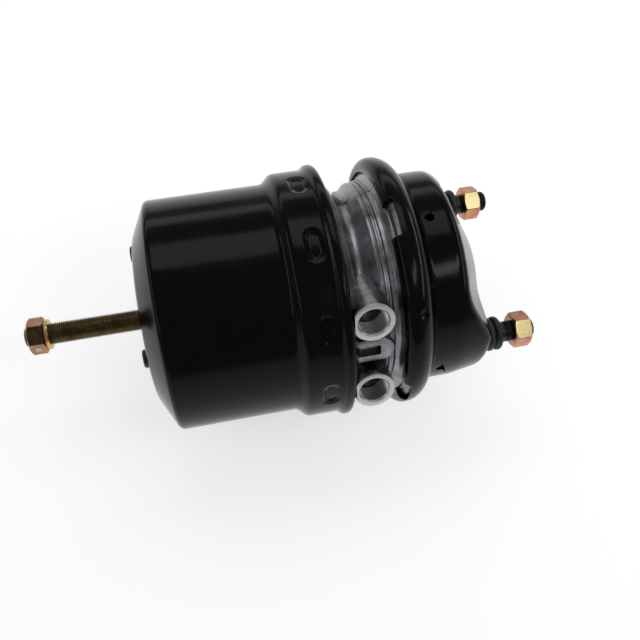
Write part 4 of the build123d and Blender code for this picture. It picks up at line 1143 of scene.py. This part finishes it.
# %% Diaphragm
CUP_FLOOR = CLAMP_FACE - 21.8
cup = lathe([(CUP_FLOOR, 0), (CUP_FLOOR, 56.7), (CLAMP_FACE, 78.4), (CLAMP_FACE + 0.1, 92),
             (CLAMP_FACE + 7, 86.6), (CLAMP_FACE + 7, 78.5), (CLAMP_FACE + 0.1, 75.4),
             (CUP_FLOOR + 3, 55), (CUP_FLOOR + 3, 0)],
            bends={1: 6, 2: 1.5, 3: 1.5, 4: 1.5, 5: 1.2, 6: 2, 7: 4}, steps=120, segments=4)
finish_piece("cup_diaphragm", cup, "housing", "black_rubber", ["diaphragm"])

# %% [markdown]
# ## Floor and lamps
# The floor is pale and reaches past every edge of the picture. For the camera it is nearly white,
# and it still takes the chamber's soft shadow. Soft lamps stand in for a light tent, and the narrow
# ones among them draw the highlights along the enamel.

# %% Floor
floor_bm = bmesh.new()
bmesh.ops.create_grid(floor_bm, x_segments=1, y_segments=1, size=6.0,
                      matrix=Matrix.Translation((0, 0, cad_box[0].z - 0.001)))
floor_mesh = bpy.data.meshes.new("floor")
floor_bm.to_mesh(floor_mesh)
floor_bm.free()
floor = bpy.data.objects.new("floor", floor_mesh)
bpy.context.collection.objects.link(floor)


def make_floor_material():
    """Matte paper, with a glow that the camera and reflections see but that lights nothing."""
    material = bpy.data.materials.new("white_paper")
    material.use_nodes = True
    tree = material.node_tree
    tree.nodes.clear()
    path = add(tree, "LightPath")
    seen = add(tree, "Math", {0: path.outputs["Is Camera Ray"], 1: path.outputs["Is Glossy Ray"]},
               operation="ADD")
    also = add(tree, "Math", {0: seen.outputs[0], 1: path.outputs["Is Transmission Ray"]},
               operation="ADD")
    paper = add(tree, "BsdfDiffuse", Color=linear("d8d8d8"))
    glow = add(tree, "Emission", Color=linear("ffffff"), Strength=0.62)
    both = add(tree, "AddShader", {0: paper.outputs[0], 1: glow.outputs[0]})
    choice = add(tree, "MixShader", {0: also.outputs[0], 1: paper.outputs[0], 2: both.outputs[0]})
    add(tree, "OutputMaterial", {"Surface": choice.outputs[0]})
    return material


floor_mesh.materials.append(make_floor_material())


# %% Lamps and world
def add_lamp(name, place, aim, width, height, power):
    data = bpy.data.lights.new(name, "AREA")
    data.shape = "RECTANGLE"
    data.size = width
    data.size_y = height
    data.energy = power
    lamp = bpy.data.objects.new(name, data)
    lamp.location = place
    lamp.rotation_euler = (Vector(aim) - Vector(place)).to_track_quat("-Z", "Y").to_euler()
    bpy.context.collection.objects.link(lamp)


middle = (-0.1, 0, 0)
add_lamp("key_softbox", (0.27, -0.4, 0.84), middle, 0.42, 0.14, 0.9)
add_lamp("top_softbox", (-0.05, 0.42, 0.9), middle, 0.8, 0.45, 1.8)
add_lamp("left_strip", (-0.95, 0, 0.45), middle, 1.1, 0.05, 1.0)
add_lamp("right_strip", (0.8, 0, 0.42), middle, 1.1, 0.04, 1.6)
add_lamp("back_strip", (-0.1, 1.0, 0.4), middle, 1.5, 0.2, 1.2)

world = bpy.data.worlds.new("studio")
scene.world = world
world.use_nodes = True
world.node_tree.nodes["Background"].inputs["Color"].default_value = linear("f2f2f2")
world.node_tree.nodes["Background"].inputs["Strength"].default_value = 0.28
